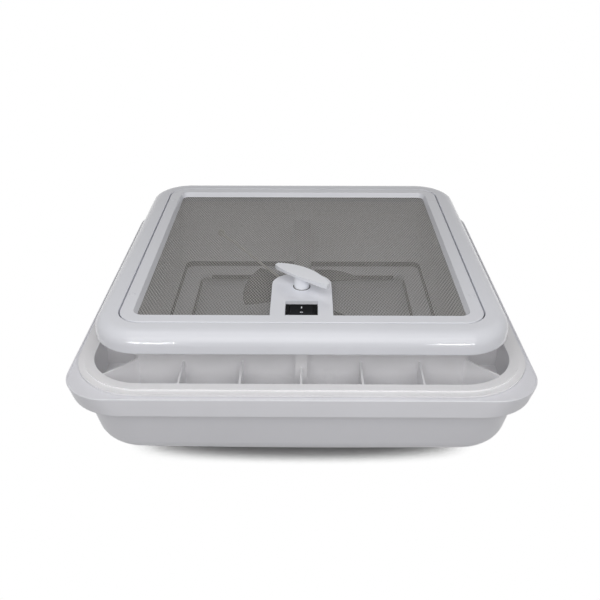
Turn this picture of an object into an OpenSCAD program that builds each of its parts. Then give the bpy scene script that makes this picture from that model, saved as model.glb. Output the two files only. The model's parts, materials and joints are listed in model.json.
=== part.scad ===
// Caravan roof vent, drawn lying upside down on its lid, so the ceiling side faces up.
// X runs across the vent, Y from the crank handle to the lid hinge, Z up. The origin is under the lid's middle.

/* [Roof] */
// Side of the square hole in the roof
roof_opening = 380; // [364:1:424]
// Play between the screw pilasters and the hole on each side
opening_play = 3; // [1:0.5:6]
// Thickness of the roof between the seat flange and the garnish
roof_t = 29.5; // [26:0.5:45]

/* [Roof frame] */
// Outside corner radius of the collar
collar_corner_r = 15; // [10:0.5:25]
// Wall thickness of the frame moulding
frame_wall = 3; // [2:0.25:4]
// Width of the open cavity between the collar and the outer wall
cavity_w = 41.3; // [34:0.1:48]
// Depth of the cavity under the seat
cavity_depth = 40; // [30:1:44]
// Reach of the collar from the seat towards the lid
collar_drop = 57; // [50:0.5:62]
// Width of the raised band of the seat flange
seat_band_w = 9.7; // [6:0.1:14]
// Width of the lower edge band of the seat flange
seat_edge_w = 6.7; // [4:0.1:10]
// Step down from the raised band to the edge band
seat_step = 1.5; // [0.5:0.1:2.5]
// Thickness of the seat flange under its raised band
flange_t = 4; // [3:0.25:6]
// Thickness of a web rib
rib_t = 2; // [1.5:0.1:3]
// Pitch of the web ribs along a side
rib_pitch = 60.9; // [50:0.1:66]
// Ribs on each side of a side's middle rib
rib_pairs = 2; // [1:1:2]
// Depth of the rib tops under the seat
rib_sink = 1; // [0:0.25:4]
// Width of a screw pilaster on the collar
pilaster_w = 12; // [9:0.5:16]
// How far a pilaster stands out of the collar
pilaster_out = 12; // [9:0.5:16]

/* [Garnish and screen] */
// How far the garnish reaches past the collar
garnish_overlap = 35; // [30:0.5:42]
// Height of the garnish from the ceiling to its top
garnish_h = 22.2; // [20:0.1:28]
// Radius of the garnish's bullnose
nose_r = 14; // [12:0.5:19]
// Wall thickness of the garnish
garnish_wall = 3.5; // [2.5:0.25:4.5]
// Thickness of the ledge that carries the screen frame
ledge_t = 4; // [3:0.25:5]
// How far the screen frame reaches past the collar
screen_overlap = 9.6; // [8:0.1:12]
// Dark gap round the screen frame
screen_gap = 1.4; // [0.5:0.1:2]
// Height of the screen frame
screen_h = 9; // [8:0.25:12]
// Inset of the window from the collar's outside, at the mesh
window_inset = 7; // [5:0.25:10]
// Slope of the window's inner wall over its depth
window_draft = 3; // [1:0.25:4]
// Depth of the mesh under the frame's top
mesh_drop = 6.2; // [5:0.1:7]
// Thickness of the mesh
mesh_t = 0.8; // [0.4:0.1:1]
// Gaps of the net along a side
mesh_cells = 16; // [8:1:17]
// Width of a strand of the net
strand_w = 1.4; // [1:0.1:2]
// Distance of the side screws from the middle line towards the handle
cap_front = 128; // [110:1:140]
// Distance of the side screws from the middle line towards the hinge
cap_back = 141.7; // [110:0.1:146]
// Radius of a screw cap
cap_r = 3; // [2.5:0.1:3.4]

/* [Console and switch] */
// Half the width of the console tongue
tongue_half = 32; // [28:0.5:40]
// Radius of the tongue's corners
tongue_r = 24; // [10:1:27]
// How far the tongue reaches past the crank axis
tongue_reach = 29.6; // [24:0.1:36]
// Thickness of the console plate
console_t = 3.2; // [2.5:0.1:4]
// Width of the switch recess
recess_w = 33.4; // [31:0.1:38]
// Length of the switch recess
recess_l = 28.8; // [27:0.1:32]
// Depth of the switch recess
recess_d = 5.2; // [4:0.1:6]
// Width of the switch case
switch_w = 27.8; // [24:0.1:29]
// Length of the switch case
switch_l = 23.8; // [22:0.1:25]
// Depth of the switch case under its rim
switch_depth = 23; // [16:0.5:26]
// Tilt of the rocker each way
rocker_tilt = 10; // [5:1:11]

/* [Crank and lift arm] */
// Distance of the crank axis from the collar's front wall
spindle_inset = 62.4; // [58:0.1:66]
// Length of the handle
handle_l = 73; // [60:1:90]
// Width of the handle
handle_w = 21; // [18:0.5:28]
// Height of the handle's top over the console
handle_rise = 18; // [16:0.5:24]
// Thickness of the handle over its stem
handle_t = 3.2; // [2.5:0.1:5]
// Depth of the handle's ends
handle_end = 7.2; // [5:0.1:9]
// Turn of the handle at rest
handle_turn = -40.5; // [-90:0.5:90]
// Radius of the handle's stem
stem_r = 8.25; // [7:0.25:9]
// Module of the worm and the sector
gear_m = 1.5; // [1.5:0.05:1.6]
// Teeth of the full circle of the sector
sector_teeth = 40; // [38:1:42]
// Pitch radius of the worm
worm_r = 6.5; // [6.2:0.1:7]
// Depth of the arm pivot under the seat
pivot_drop = 33; // [31:0.5:34]
// Length of the lift arm between its centres
arm_l = 200; // [190:1:206]
// Fall of the arm from its pivot to its roller with the lid shut
arm_fall = 32; // [30:0.5:34]
// Thickness of the arm plate
arm_t = 5; // [3:0.25:5]
// Opening of the lid in degrees
lid_open = 30; // [15:1:32]

/* [Fan] */
// Radius of the fan over its blades
fan_r = 74; // [60:0.5:80]
// Depth of the fan's middle plane under the seat
fan_drop = 14; // [12:0.5:16]
// Number of blades
blade_n = 3; // [3:1:5]
// Height of a blade along the axis
blade_h = 18; // [12:0.5:19]
// Radius of the motor can
motor_r = 17; // [14:0.5:18]
// Height of the motor strap over the seat
strap_rise = 7; // [7:0.5:12]
// Width of the motor strap
strap_w = 22; // [20:0.5:28]
// Thickness of the motor strap
strap_t = 2; // [1.5:0.25:3]

/* [Lid] */
// Depth of the lid from its rim to its crown
lid_depth = 101.2; // [98:0.1:112]
// Height of the rim band
band_h = 20.2; // [16:0.1:22]
// How far the dome steps in from the rim band
dome_step = 8; // [6:0.25:10]
// Corner radius of the rim band at its top
rim_corner_r = 46; // [40:1:50]
// Corner radius of the rim band at the dome
rim_low_r = 60; // [52:1:66]
// Corner radius of the dome under the band
dome_corner_r = 65; // [58:1:68]
// Wall thickness of the dome
lid_t = 3; // [2:0.25:4]
// Slope of the dome's wall in degrees
wall_slope = 12.7; // [10:0.1:16]
// Radius between the dome's wall and its crown
dome_fillet = 30; // [26:0.5:34]
// Slope of the crown at its edge in degrees
crown_slope = 12; // [10:0.5:14]
// Half the side of the crown's flat middle
crown_flat = 80; // [70:1:82]
// Extra rise of the crown towards its corners
corner_lift = 10; // [4:0.5:12]
// Height of the rubber seal
seal_h = 6.7; // [5:0.1:9]
// Width of the inner frame's ledge from the seal inwards
ledge_w = 27; // [20:0.5:32]
// Depth of the lip along the ledge's inner edge
lip_h = 7; // [5:0.25:9]

/* [Hinge] */
// Distance of the hinge axis behind the rim band
hinge_out = 7; // [6.5:0.1:9]
// Depth of the hinge axis under the rim's top
hinge_sink = 1.7; // [1.5:0.1:3]
// Distance of each hinge from the middle
hinge_x = 120; // [90:1:150]
// Radius of a hinge knuckle
knuckle_r = 4.5; // [4:0.1:5]
// Radius of a hinge pin
hinge_pin_r = 2.5; // [2:0.1:2.8]
// Width of the frame's hinge eye
eye_w = 20; // [14:0.5:30]

/* [Hidden] */
$fn = 48;
// Clearances: running fit, loose fit, face-to-face play
run = 0.05;
loose = 0.3;
play = 0.5;
eps = 0.01;

// Half sizes, from the collar outwards
collar_half = roof_opening / 2 - opening_play - pilaster_out;
collar_in = collar_half - frame_wall;
cc = collar_half - collar_corner_r;
ring_in = collar_half + cavity_w;
wall_out = ring_in + frame_wall;
ring_mid = ring_in + seat_band_w;
ring_out = ring_mid + seat_edge_w;
rim_gap = 3.1;
rim_wall = 2.2;
rim_in = ring_out + rim_gap;
rim_out = rim_in + rim_wall;
dome_half = rim_out - dome_step;
shelf_play = 3.2;
shelf_in = wall_out + shelf_play;
garnish_half = collar_half + garnish_overlap;
screen_half = collar_half + screen_overlap;
window_half = collar_half - window_inset;
window_top = window_half + window_draft;
pocket_half = screen_half + screen_gap;
garnish_lap = 2;
garnish_in = window_half + garnish_lap;
rebate_in = 7.6;
rebate_half = screen_half - rebate_in;
spline_w = 3.6;

// Heights, from the lid's crown upwards
rim_z = lid_depth;
band_z = rim_z - band_h;
seat_proud = 3.8;
seat_z = rim_z + seat_proud;
collar_z = seat_z - collar_drop;
floor_z = seat_z - cavity_depth;
garnish_z = seat_z + roof_t;
top_z = garnish_z + garnish_h;
pocket_z = top_z - screen_h;
ledge_z = pocket_z - ledge_t;
collar_top = ledge_z - loose;
mesh_z = top_z - mesh_drop;

// Crank and lift arm, in the plane X = 0
spindle_y = -collar_in + spindle_inset;
sector_r = gear_m * sector_teeth / 2;
pivot_y = spindle_y + worm_r + sector_r;
pivot_z = seat_z - pivot_drop;
tooth_pitch = PI * gear_m;
worm_lead = atan(tooth_pitch / (2 * PI * worm_r));
arm_angle = -asin(arm_fall / arm_l);
shaft_r = 3;
arm_pin_r = 2.5;
roller_r = 4.5;
roller_pin_r = 2;
roller_play = 0.4;

// Hinge axis of the lid
hinge_y = rim_out + hinge_out;
hinge_z = rim_z - hinge_sink;

// Fan and motor
fan_z = seat_z - fan_drop;
strap_z = seat_z + strap_rise;
motor_shaft_r = 1.585;
hub_clear = 3;
hub_wall = 2.8;
hub_drop = 14.5;
hub_in = motor_r + hub_clear;
hub_out = hub_in + hub_wall;
hub_z = fan_z - hub_drop;
hub_floor_t = 3;
end_cap_rise = 7;
end_cap_t = 2.5;
cap_z = hub_z + end_cap_rise;
motor_z = cap_z + end_cap_t;

// Console and switch
window_lip = 0.5;
window_front = window_top - window_lip;
switch_y = -(window_front - recess_l / 2);
recess_z = top_z - recess_d;
recess_floor_t = 2.5;
recess_wall = 1.6;
bezel_t = 1.5;
rocker_side = 1.5;
rocker_end = 2;
rocker_sink = 3;
rocker_half_w = switch_w / 2 - rocker_side;
rocker_half_l = switch_l / 2 - rocker_end;
rocker_axis_z = recess_z - rocker_sink;

// The roller and its track run beside the fan's clip, the arm beside the track
clip_r = 4.5;
track_t = 4.6;
track_x0 = clip_r + play;
track_x1 = track_x0 + track_t;
arm_gap = 2.2;
arm_x = track_x1 + arm_gap;

// Screws
screw_r = 1.6;
head_r = 2.8;
head_h = 2;

// Shared shapes

// Sweeps a profile, drawn as half size against height, round a square whose corners centre on c
module ring_sweep(c = cc) {
    for (q = [0:3]) rotate(90 * q) {
        translate([c, c, 0]) rotate_extrude(angle = 90, $fn = 96) translate([-c, 0]) children();
        rotate([90, 0, 0]) linear_extrude(2 * c, center = true) children();
    }
}

// Extrudes a profile drawn in Y and Z along X
module along_x(x0, x1) {
    translate([x0, 0, 0]) rotate([90, 0, 90]) linear_extrude(x1 - x0) children();
}

// Extrudes a profile drawn in X and Z along Y
module along_y(y0, y1) {
    translate([0, y1, 0]) rotate([90, 0, 0]) linear_extrude(y1 - y0) children();
}

module rod_x(x0, x1, r) {
    translate([x0, 0, 0]) rotate([0, 90, 0]) cylinder(h = x1 - x0, r = r);
}

module rod_y(y0, y1, r) {
    translate([0, y0, 0]) rotate([-90, 0, 0]) cylinder(h = y1 - y0, r = r);
}

// A box from its middle line in X and its spans in Y and Z
module block(x0, x1, y0, y1, z0, z1) {
    translate([x0, y0, z0]) cube([x1 - x0, y1 - y0, z1 - z0]);
}

// Points of an arc round [x, y]
function arc(x, y, r, a0, a1, n) = [for (i = [0:n]) let (a = a0 + (a1 - a0) * i / n) [x + r * cos(a), y + r * sin(a)]];

// Outline of a rounded square of half size h and corner radius r
function square_outline(h, r, n = 12) = [for (q = [0:3], p = arc(h - r, h - r, r, 0, 90, n))
    [p[0] * cos(90 * q) - p[1] * sin(90 * q), p[0] * sin(90 * q) + p[1] * cos(90 * q)]];

// Pan-head screw along +Z: the head's seat is at the origin, the head stands above it
module screw(len, r = screw_r, hr = head_r, hh = head_h) {
    translate([0, 0, -len]) cylinder(h = len + eps, r = r);
    cylinder(h = hh * 0.55, r = hr);
    translate([0, 0, hh * 0.55 - eps]) cylinder(h = hh * 0.45 + eps, r1 = hr, r2 = hr * 0.62);
}

module four_sides() {
    for (q = [0:3]) rotate(90 * q) children();
}

// Lid dome

dome_cc = dome_half - dome_corner_r;
fillet_span = 90 - crown_slope - wall_slope;
half_slope = tan(crown_slope) / 2;
edge_base = dome_half - tan(wall_slope) * (band_z - dome_fillet * (cos(crown_slope) - sin(wall_slope)))
    - dome_fillet * (cos(wall_slope) - sin(crown_slope));
crown_bow = half_slope * (edge_base - crown_flat) / (1 - half_slope * tan(wall_slope));
edge_half = edge_base + tan(wall_slope) * crown_bow;
fillet_half = edge_half - dome_fillet * sin(crown_slope);
fillet_z = crown_bow + dome_fillet * cos(crown_slope);
edge_corner_r = edge_half - dome_cc;
corner_steps = 8;
side_steps = 5;
fillet_steps = 7;
crown_steps = 5;
foot_w = 9;
seal_half = collar_half - frame_wall / 2;
land_side_in = 2;
land_side_out = 6;
land_in = seal_half - foot_w - land_side_in;
land_flat = seal_half + foot_w + land_side_out;

function dome_corner(a) = a >= edge_half ? a - dome_cc : edge_corner_r * a / edge_half;

// Points of a level ring: the corner arcs with the sides cut into steps between them
function ring_xy(a, r) = [for (q = [0:3]) each [
    for (i = [0:corner_steps]) let (t = 90 * (q + i / corner_steps), c = a - r,
        cx = (q == 0 || q == 3) ? c : -c, cy = (q < 2) ? c : -c) [cx + r * cos(t), cy + r * sin(t)],
    for (j = [1:side_steps - 1]) let (f = 1 - 2 * j / side_steps, c = a - r)
        q == 0 ? [f * c, a] : q == 1 ? [-a, f * c] : q == 2 ? [-f * c, -a] : [a, -f * c]]];

// How far a point lies towards the corners, from 0 at a side's middle
function corner_share(p, a) = pow(p[0] * p[1], 2) / pow(a, 4);

function level_ring(a, z, lift) = [for (p = ring_xy(a, dome_corner(a)))
    [p[0], p[1], z + lift * corner_share(p, a)]];

// Rise of the crown at half size a, as a share of its edge
function crown_share(a) = a <= crown_flat ? 0 : pow((a - crown_flat) / (edge_half - crown_flat), 2);

function crown_ring(a, t) = level_ring(a, t + crown_bow * crown_share(a), corner_lift * crown_share(a));

function fillet_ring(r, s) = let (t = wall_slope + fillet_span * s)
    level_ring(fillet_half + r * cos(t), fillet_z - r * sin(t), corner_lift * s * s);

// Level of the land that carries the inner frame's foot, one wall over the crown at its corners
land_z = lid_t + (crown_bow + corner_lift) * crown_share(seal_half + foot_w);
land_angle = asin((fillet_z - land_z) / (dome_fillet - lid_t));
wall_in = lid_t / cos(wall_slope);

dome_outer = concat([level_ring(dome_half, band_z, 0)],
    [for (i = [0:fillet_steps]) fillet_ring(dome_fillet, i / fillet_steps)],
    [for (i = [1:crown_steps]) crown_ring(edge_half + (crown_flat - edge_half) * i / crown_steps, 0)]);
dome_inner = concat([level_ring(dome_half - wall_in, band_z, 0)],
    [for (i = [0:fillet_steps - 2]) let (t = wall_slope + (land_angle - wall_slope) * i / (fillet_steps - 2),
        r = dome_fillet - lid_t, s = (t - wall_slope) / fillet_span)
        level_ring(fillet_half + r * cos(t), fillet_z - r * sin(t), corner_lift * s * s)],
    [level_ring(land_flat, land_z, 0), level_ring(land_in, land_z, 0)],
    [for (i = [0:crown_steps - 1]) crown_ring(land_in - 2 + (crown_flat - land_in + 2) * i / (crown_steps - 1), lid_t)]);

// Closed skin from two stacks of rings that share their top edge
module ring_skin(outer, inner) {
    n = len(outer[0]);
    no = len(outer);
    ni = len(inner);
    pts = concat([for (r = outer) each r], [for (r = inner) each r],
        [[0, 0, outer[no - 1][0][2]], [0, 0, inner[ni - 1][0][2]]]);
    base = no * n;
    floor_out = base + ni * n;
    faces = concat(
        [for (k = [0:no - 2], i = [0:n - 1]) let (j = (i + 1) % n) each
            [[k * n + i, (k + 1) * n + i, (k + 1) * n + j], [k * n + i, (k + 1) * n + j, k * n + j]]],
        [for (k = [0:ni - 2], i = [0:n - 1]) let (j = (i + 1) % n) each
            [[base + k * n + i, base + (k + 1) * n + j, base + (k + 1) * n + i],
             [base + k * n + i, base + k * n + j, base + (k + 1) * n + j]]],
        [for (i = [0:n - 1]) let (j = (i + 1) % n) each [[i, j, base + j], [i, base + j, base + i]]],
        [for (i = [0:n - 1]) let (j = (i + 1) % n) [(no - 1) * n + j, (no - 1) * n + i, floor_out]],
        [for (i = [0:n - 1]) let (j = (i + 1) % n, b = base + (ni - 1) * n) [b + i, b + j, floor_out + 1]]);
    polyhedron(pts, [for (f = faces) [f[2], f[1], f[0]]], convexity = 6);
}

module lid_dome() {
    color("gainsboro") ring_skin(dome_outer, dome_inner);
}

// Lid rim: upright band, inner shelf under the seat flange and the base that lies on the dome's edge

shelf_drop = 0.8;
shelf_t = 3;
rim_base_t = 3;
rim_base_lap = 5;
rim_base_in = dome_half - rim_base_lap;
band_round = 0.8;

rim_steps = 16;

// Corner radius of the band at a height, and its outline there for a half size
function rim_r(z) = rim_low_r + (rim_corner_r - rim_low_r) * (z - band_z) / band_h;
function rim_outline(h, z) = square_outline(h, rim_r(z) - rim_out + h, rim_steps);
function rim_ring(h, z) = [for (p = rim_outline(h, z)) [p[0], p[1], z]];

// Closed skin round a loop of rings
module loop_skin(rings) {
    n = len(rings[0]);
    m = len(rings);
    polyhedron([for (r = rings) each r],
        [for (k = [0:m - 1], i = [0:n - 1]) let (j = (i + 1) % n, u = (k + 1) % m) each
            [[k * n + i, u * n + i, u * n + j], [k * n + i, u * n + j, k * n + j]]], convexity = 6);
}

module lid_rim() {
    shelf_z = rim_z - shelf_drop - shelf_t;
    buried = 1;
    color("gainsboro") {
        loop_skin([rim_ring(rim_out, band_z), rim_ring(rim_out, rim_z - band_round),
            rim_ring(rim_out - band_round, rim_z), rim_ring(rim_in, rim_z), rim_ring(rim_in, band_z)]);
        translate([0, 0, shelf_z]) linear_extrude(shelf_t) difference() {
            polygon(rim_outline(rim_in + buried, shelf_z + shelf_t / 2));
            polygon(square_outline(shelf_in, shelf_in - cc));
        }
        translate([0, 0, band_z]) linear_extrude(rim_base_t) difference() {
            polygon(rim_outline(rim_in + buried, band_z + rim_base_t / 2));
            polygon(square_outline(rim_base_in, dome_corner_r - dome_half + rim_base_in));
        }
    }
}

// Lid inner frame and seal

seal_w = 6;
seal_z = collar_z - loose - seal_h;

ledge_r = 10;
trim_t = 2;
lip_t = 2.5;
lip_z = seal_z - lip_h;

module lid_inner_frame() {
    foot_t = 2.5;
    web = 2.5;
    head_w = 7;
    head_t = 2.5;
    head_half = seal_half + head_w / 2;
    color("gainsboro") {
        ring_sweep() polygon([[seal_half - foot_w, land_z], [seal_half + foot_w, land_z],
            [seal_half + foot_w, land_z + foot_t], [seal_half + web, land_z + foot_t],
            [seal_half + web, seal_z - head_t / 2], [seal_half - web, seal_z - head_t / 2],
            [seal_half - web, land_z + foot_t], [seal_half - foot_w, land_z + foot_t]]);
        translate([0, 0, seal_z - head_t]) linear_extrude(head_t) difference() {
            polygon(square_outline(head_half, head_half - cc));
            polygon(square_outline(ledge_in, ledge_r));
        }
        translate([0, 0, lip_z]) linear_extrude(lip_h - eps) difference() {
            polygon(square_outline(ledge_in + lip_t, ledge_r + lip_t));
            polygon(square_outline(ledge_in, ledge_r));
        }
    }
}

// Four lengths of rubber edging pushed over the lip
module lid_edge_trim() {
    trim_h = 4;
    half_l = ledge_in - ledge_r - 4;
    out = ledge_in + lip_t;
    color("dimgray") four_sides() along_x(-half_l, half_l) polygon([[ledge_in - trim_t, lip_z - trim_t],
        [out + trim_t, lip_z - trim_t], [out + trim_t, lip_z + trim_h], [out, lip_z + trim_h], [out, lip_z],
        [ledge_in, lip_z], [ledge_in, lip_z + trim_h], [ledge_in - trim_t, lip_z + trim_h]]);
}

module lid_seal() {
    r = seal_w / 2;
    color("dimgray") ring_sweep() polygon(concat([[seal_half - r, seal_z], [seal_half + r, seal_z]],
        arc(seal_half, seal_z + seal_h - r, r, 0, 180, 10)));
}

// Hinge

leaf_t = 2;
knuckle_w = 12;
leaf_screw_rise = 7;
leaf_screw_in = 4;
leaf_screw_z = band_z + leaf_screw_rise;
leaf_screw_x = eye_w / 2 - leaf_screw_in;

module hinge_at() {
    for (s = [-1, 1]) translate([s * hinge_x, 0, 0]) children();
}

module at_hinge_axis() {
    translate([0, hinge_y, hinge_z]) children();
}

module lid_hinge_leaves() {
    inner = eye_w / 2 + loose;
    outer = inner + knuckle_w;
    color("gainsboro") hinge_at() difference() {
        union() {
            block(-outer, outer, rim_out, rim_out + leaf_t, band_z + 2, rim_z - knuckle_r);
            for (s = [-1, 1]) translate([s * (inner + outer) / 2, 0, 0]) {
                at_hinge_axis() rod_x(-knuckle_w / 2, knuckle_w / 2, knuckle_r);
                along_x(-knuckle_w / 2, knuckle_w / 2) polygon([[rim_out, hinge_z - 13], [rim_out + leaf_t, hinge_z - 13],
                    [hinge_y + 2, hinge_z - 2], [hinge_y, hinge_z + 3], [rim_out, rim_z - 0.5]]);
            }
        }
        at_hinge_axis() rod_x(-outer - 1, outer + 1, hinge_pin_r + run);
        for (s = [-1, 1]) translate([s * leaf_screw_x, 0, leaf_screw_z]) rod_y(rim_out - 1, rim_out + 9, screw_r + run);
    }
}

module lid_hinge_screws() {
    color("silver") hinge_at() for (s = [-1, 1])
        translate([s * leaf_screw_x, rim_out + leaf_t, leaf_screw_z]) rotate([-90, 0, 0]) screw(leaf_t);
}

module hinge_pins() {
    outer = eye_w / 2 + loose + knuckle_w;
    color("silver") hinge_at() at_hinge_axis() {
        rod_x(-outer - 1, outer + 1, hinge_pin_r);
        rod_x(-outer - 2.5, -outer - 0.1, hinge_pin_r + 1.2);
        rod_x(outer + 0.1, outer + 2.5, hinge_pin_r + 1.2);
    }
}

// Lift arm and the cam track that its roller runs in

function turn(p, a) = [p[0] * cos(a) - p[1] * sin(a), p[0] * sin(a) + p[1] * cos(a)];
arm_pivot = [pivot_y, pivot_z];
lid_pivot = [hinge_y, hinge_z];
// Place of the roller in the shut lid's frame when the lid is open by t; the arm turns as far the other way
function track_point(t) = lid_pivot + turn(arm_pivot + turn([arm_l, 0], arm_angle - t) - lid_pivot, -t);
function track_side(t) = let (d = track_point(t + 0.1) - track_point(t - 0.1)) [-d[1], d[0]] / norm(d);
track_over_angle = 0.6;
track_steps = 24;
track_from = -track_over_angle;
track_step = (lid_open + 2 * track_over_angle) / track_steps;
// Half circle of radius r round p, turning back from the side that points to a
function track_cap(p, r, a) = [for (k = [1:cap_steps - 1]) p + r * [cos(a - 180 * k / cap_steps), sin(a - 180 * k / cap_steps)]];
cap_steps = 10;
// Outline of a band of width w along the roller's path, with round ends
function track_band(w) = let (last = lid_open + track_over_angle, n0 = track_side(track_from), n1 = track_side(last)) concat(
    [for (i = [0:track_steps]) let (t = track_from + track_step * i) track_point(t) + track_side(t) * w / 2],
    track_cap(track_point(last), w / 2, atan2(n1[1], n1[0])),
    [for (i = [track_steps:-1:0]) let (t = track_from + track_step * i) track_point(t) - track_side(t) * w / 2],
    track_cap(track_point(track_from), w / 2, atan2(-n0[1], -n0[0])));
track_ends = [track_point(track_from), track_point(lid_open + track_over_angle)];
slot_w = 2 * (roller_r + roller_play);
track_wall = 4;
// The ledge and its rubber edging stop short of the track's shut end
ledge_in = max(seal_half - ledge_w, track_ends[0][0] + slot_w / 2 + track_wall + trim_t + play);
track_base_side = 12;
track_base_x0 = track_x0 - track_base_side;
track_base_x1 = track_x1 + track_base_side;
track_base_t = 2.5;
track_base_y0 = track_ends[1][0];
track_base_short = 4;
track_base_y1 = crown_flat - track_base_short;
track_screw_in = 4;
track_screw_h = 1.6;

module lift_track() {
    mid = track_point(lid_open * 0.55);
    color("whitesmoke") difference() {
        union() {
            along_x(track_x0, track_x1) difference() {
                union() {
                    polygon(track_band(slot_w + 2 * track_wall));
                    polygon([[track_base_y0, lid_t], [track_base_y1, lid_t], [track_point(lid_open * 0.3)[0], mid[1]],
                        [track_ends[1][0], track_ends[1][1]]]);
                }
                polygon(track_band(slot_w));
            }
            block(track_base_x0, track_base_x1, track_base_y0, track_base_y1, lid_t, lid_t + track_base_t);
        }
        track_screw_places() translate([0, 0, lid_t - 1]) cylinder(h = track_base_t + 2, r = screw_r + run);
    }
}

module track_screw_places() {
    for (x = [track_base_x0 + track_screw_in, track_base_x1 - track_screw_in],
        y = [track_base_y0 + track_screw_in, track_base_y1 - track_screw_in]) translate([x, y, 0]) children();
}

module track_screws() {
    color("silver") track_screw_places() translate([0, 0, lid_t + track_base_t])
        screw(track_base_t, hh = track_screw_h);
}

arm_eye_r = 9;
arm_tip_r = 7;
sector_w = 8;
sector_addendum = 1.4;
sector_dedendum = 1.8;
backlash = 0.23;
tooth_half = tooth_pitch / 4 - backlash;
pressure_angle = 20;
hub_x0 = -9.5;
hub_x1 = arm_x + arm_t + play;
first_tooth_n = -2;
tooth_angle = 360 / sector_teeth;
last_tooth_n = ceil(lid_open / tooth_angle) + 1;

// One straight tooth that points to -Y, turned to the worm's lead
module sector_tooth() {
    root = sector_dedendum + 0.4;
    tip_half = tooth_half - sector_addendum * tan(pressure_angle);
    root_half = tooth_half + root * tan(pressure_angle);
    translate([0, -sector_r, 0]) rotate([0, worm_lead, 0]) along_x(-sector_w / 2, sector_w / 2)
        polygon([[-sector_addendum, -tip_half], [-sector_addendum, tip_half], [root, root_half], [root, -root_half]]);
}

module lift_arm() {
    sector_root = sector_r - sector_dedendum;
    reach = [arm_l * cos(arm_angle), arm_l * sin(arm_angle)];
    side = turn([0, 1], arm_angle);
    first = 180 + tooth_angle * first_tooth_n;
    last = 180 + tooth_angle * (last_tooth_n + 1);
    color("silver") translate([0, pivot_y, pivot_z]) difference() {
        union() {
            along_x(arm_x, arm_x + arm_t) {
                circle(arm_eye_r);
                translate(reach) circle(arm_tip_r);
                polygon([side * arm_eye_r * 0.96, reach + side * arm_tip_r * 0.96,
                    reach - side * arm_tip_r * 0.96, -side * arm_eye_r * 0.96]);
            }
            rod_x(hub_x0, hub_x1, arm_eye_r - 1.5);
            along_x(-sector_w / 2, sector_w / 2) polygon(concat([[3, 0]], arc(0, 0, sector_root, first, last, 14)));
            for (i = [first_tooth_n:last_tooth_n]) rotate([tooth_angle * (i + 0.5), 0, 0]) sector_tooth();
            translate([0, reach[0], reach[1]]) rod_x(track_x1 + loose, arm_x + eps, roller_pin_r + 2.2);
        }
        rod_x(hub_x0 - 1, hub_x1 + 1, arm_pin_r + run);
        translate([0, reach[0], reach[1]]) rod_x(0, arm_x + arm_t + 1, roller_pin_r + run);
    }
}

module at_roller() {
    translate([0, pivot_y + arm_l * cos(arm_angle), pivot_z + arm_l * sin(arm_angle)]) children();
}

module arm_roller() {
    color("whitesmoke") at_roller() difference() {
        rod_x(track_x0 + 0.2, track_x1 - 0.2, roller_r);
        rod_x(track_x0 - 1, track_x1 + 1, roller_pin_r + run);
    }
}

module roller_pin() {
    color("silver") at_roller() {
        rod_x(track_x0 - 1.2, arm_x + arm_t + 0.8, roller_pin_r);
        rod_x(arm_x + arm_t + 0.1, arm_x + arm_t + 1.6, roller_pin_r + 1.3);
        rod_x(track_x0 - 1.6, track_x0 - 0.2, roller_pin_r + 0.8);
    }
}

// Worm and spindle

worm_half = 12.5;
worm_core_lap = 0.1;
worm_core_r = worm_r - sector_dedendum + worm_core_lap;
thread_add = 1.5;
turn_steps = 20;
shelf_reach = 20;
shelf_low = pivot_z - shelf_reach;
shelf_high = pivot_z + shelf_reach;
bracket_shelf_t = 6;
socket_rise = 17;
socket_z = seat_z + socket_rise;
hex_af = 8;
hex_step = 2;
hex_l = 22;
hex_z = socket_z - hex_step;
hex_top = socket_z + hex_l;

// Right-hand thread whose tooth faces the sector's gap at the pivot's height
module worm_thread() {
    root_r = worm_core_r - 0.4;
    tip_r = worm_r + thread_add;
    tip_half = tooth_half - thread_add * tan(pressure_angle);
    root_half = tooth_half + (worm_r - root_r) * tan(pressure_angle);
    section = [[root_r, root_half], [tip_r, tip_half], [tip_r, -tip_half], [root_r, -root_half]];
    turns = worm_half / tooth_pitch;
    n = ceil(2 * turns * turn_steps);
    pts = [for (i = [0:n], p = section) let (a = 360 * turns * (2 * i / n - 1))
        [p[0] * cos(a + 90), p[0] * sin(a + 90), tooth_pitch * a / 360 + p[1]]];
    faces = concat([[0, 1, 2], [0, 2, 3]],
        [for (i = [0:n - 1], j = [0:3]) let (a = 4 * i + j, b = 4 * i + (j + 1) % 4) each
            [[a, a + 4, b + 4], [a, b + 4, b]]],
        [[4 * n + 2, 4 * n + 1, 4 * n], [4 * n + 3, 4 * n + 2, 4 * n]]);
    polyhedron(pts, faces, convexity = 8);
}

module worm() {
    collar_r = worm_r;
    end_low = shelf_low + loose;
    end_high = shelf_high - loose;
    color("whitesmoke") translate([0, spindle_y, 0]) difference() {
        union() {
            translate([0, 0, pivot_z]) worm_thread();
            translate([0, 0, end_low]) cylinder(h = end_high - end_low, r = worm_core_r);
            translate([0, 0, end_low]) cylinder(h = pivot_z - worm_half - 2 - end_low, r = collar_r);
            translate([0, 0, pivot_z + worm_half + 2]) cylinder(h = end_high - pivot_z - worm_half - 2, r = collar_r);
        }
        translate([0, 0, end_low - 1]) cylinder(h = end_high - end_low + 2, r = shaft_r + run);
    }
}

module spindle() {
    shoulder_z = shelf_high + bracket_shelf_t + loose;
    color("silver") translate([0, spindle_y, 0]) {
        translate([0, 0, shelf_low - bracket_shelf_t - 2]) cylinder(h = shoulder_z - shelf_low + bracket_shelf_t + 3, r = shaft_r);
        translate([0, 0, shoulder_z]) cylinder(h = hex_z - shoulder_z + 1, r = hex_af / 2);
        translate([0, 0, hex_z]) cylinder(h = hex_top - hex_z, r = hex_af / 2 / cos(30), $fn = 6);
    }
}

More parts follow.
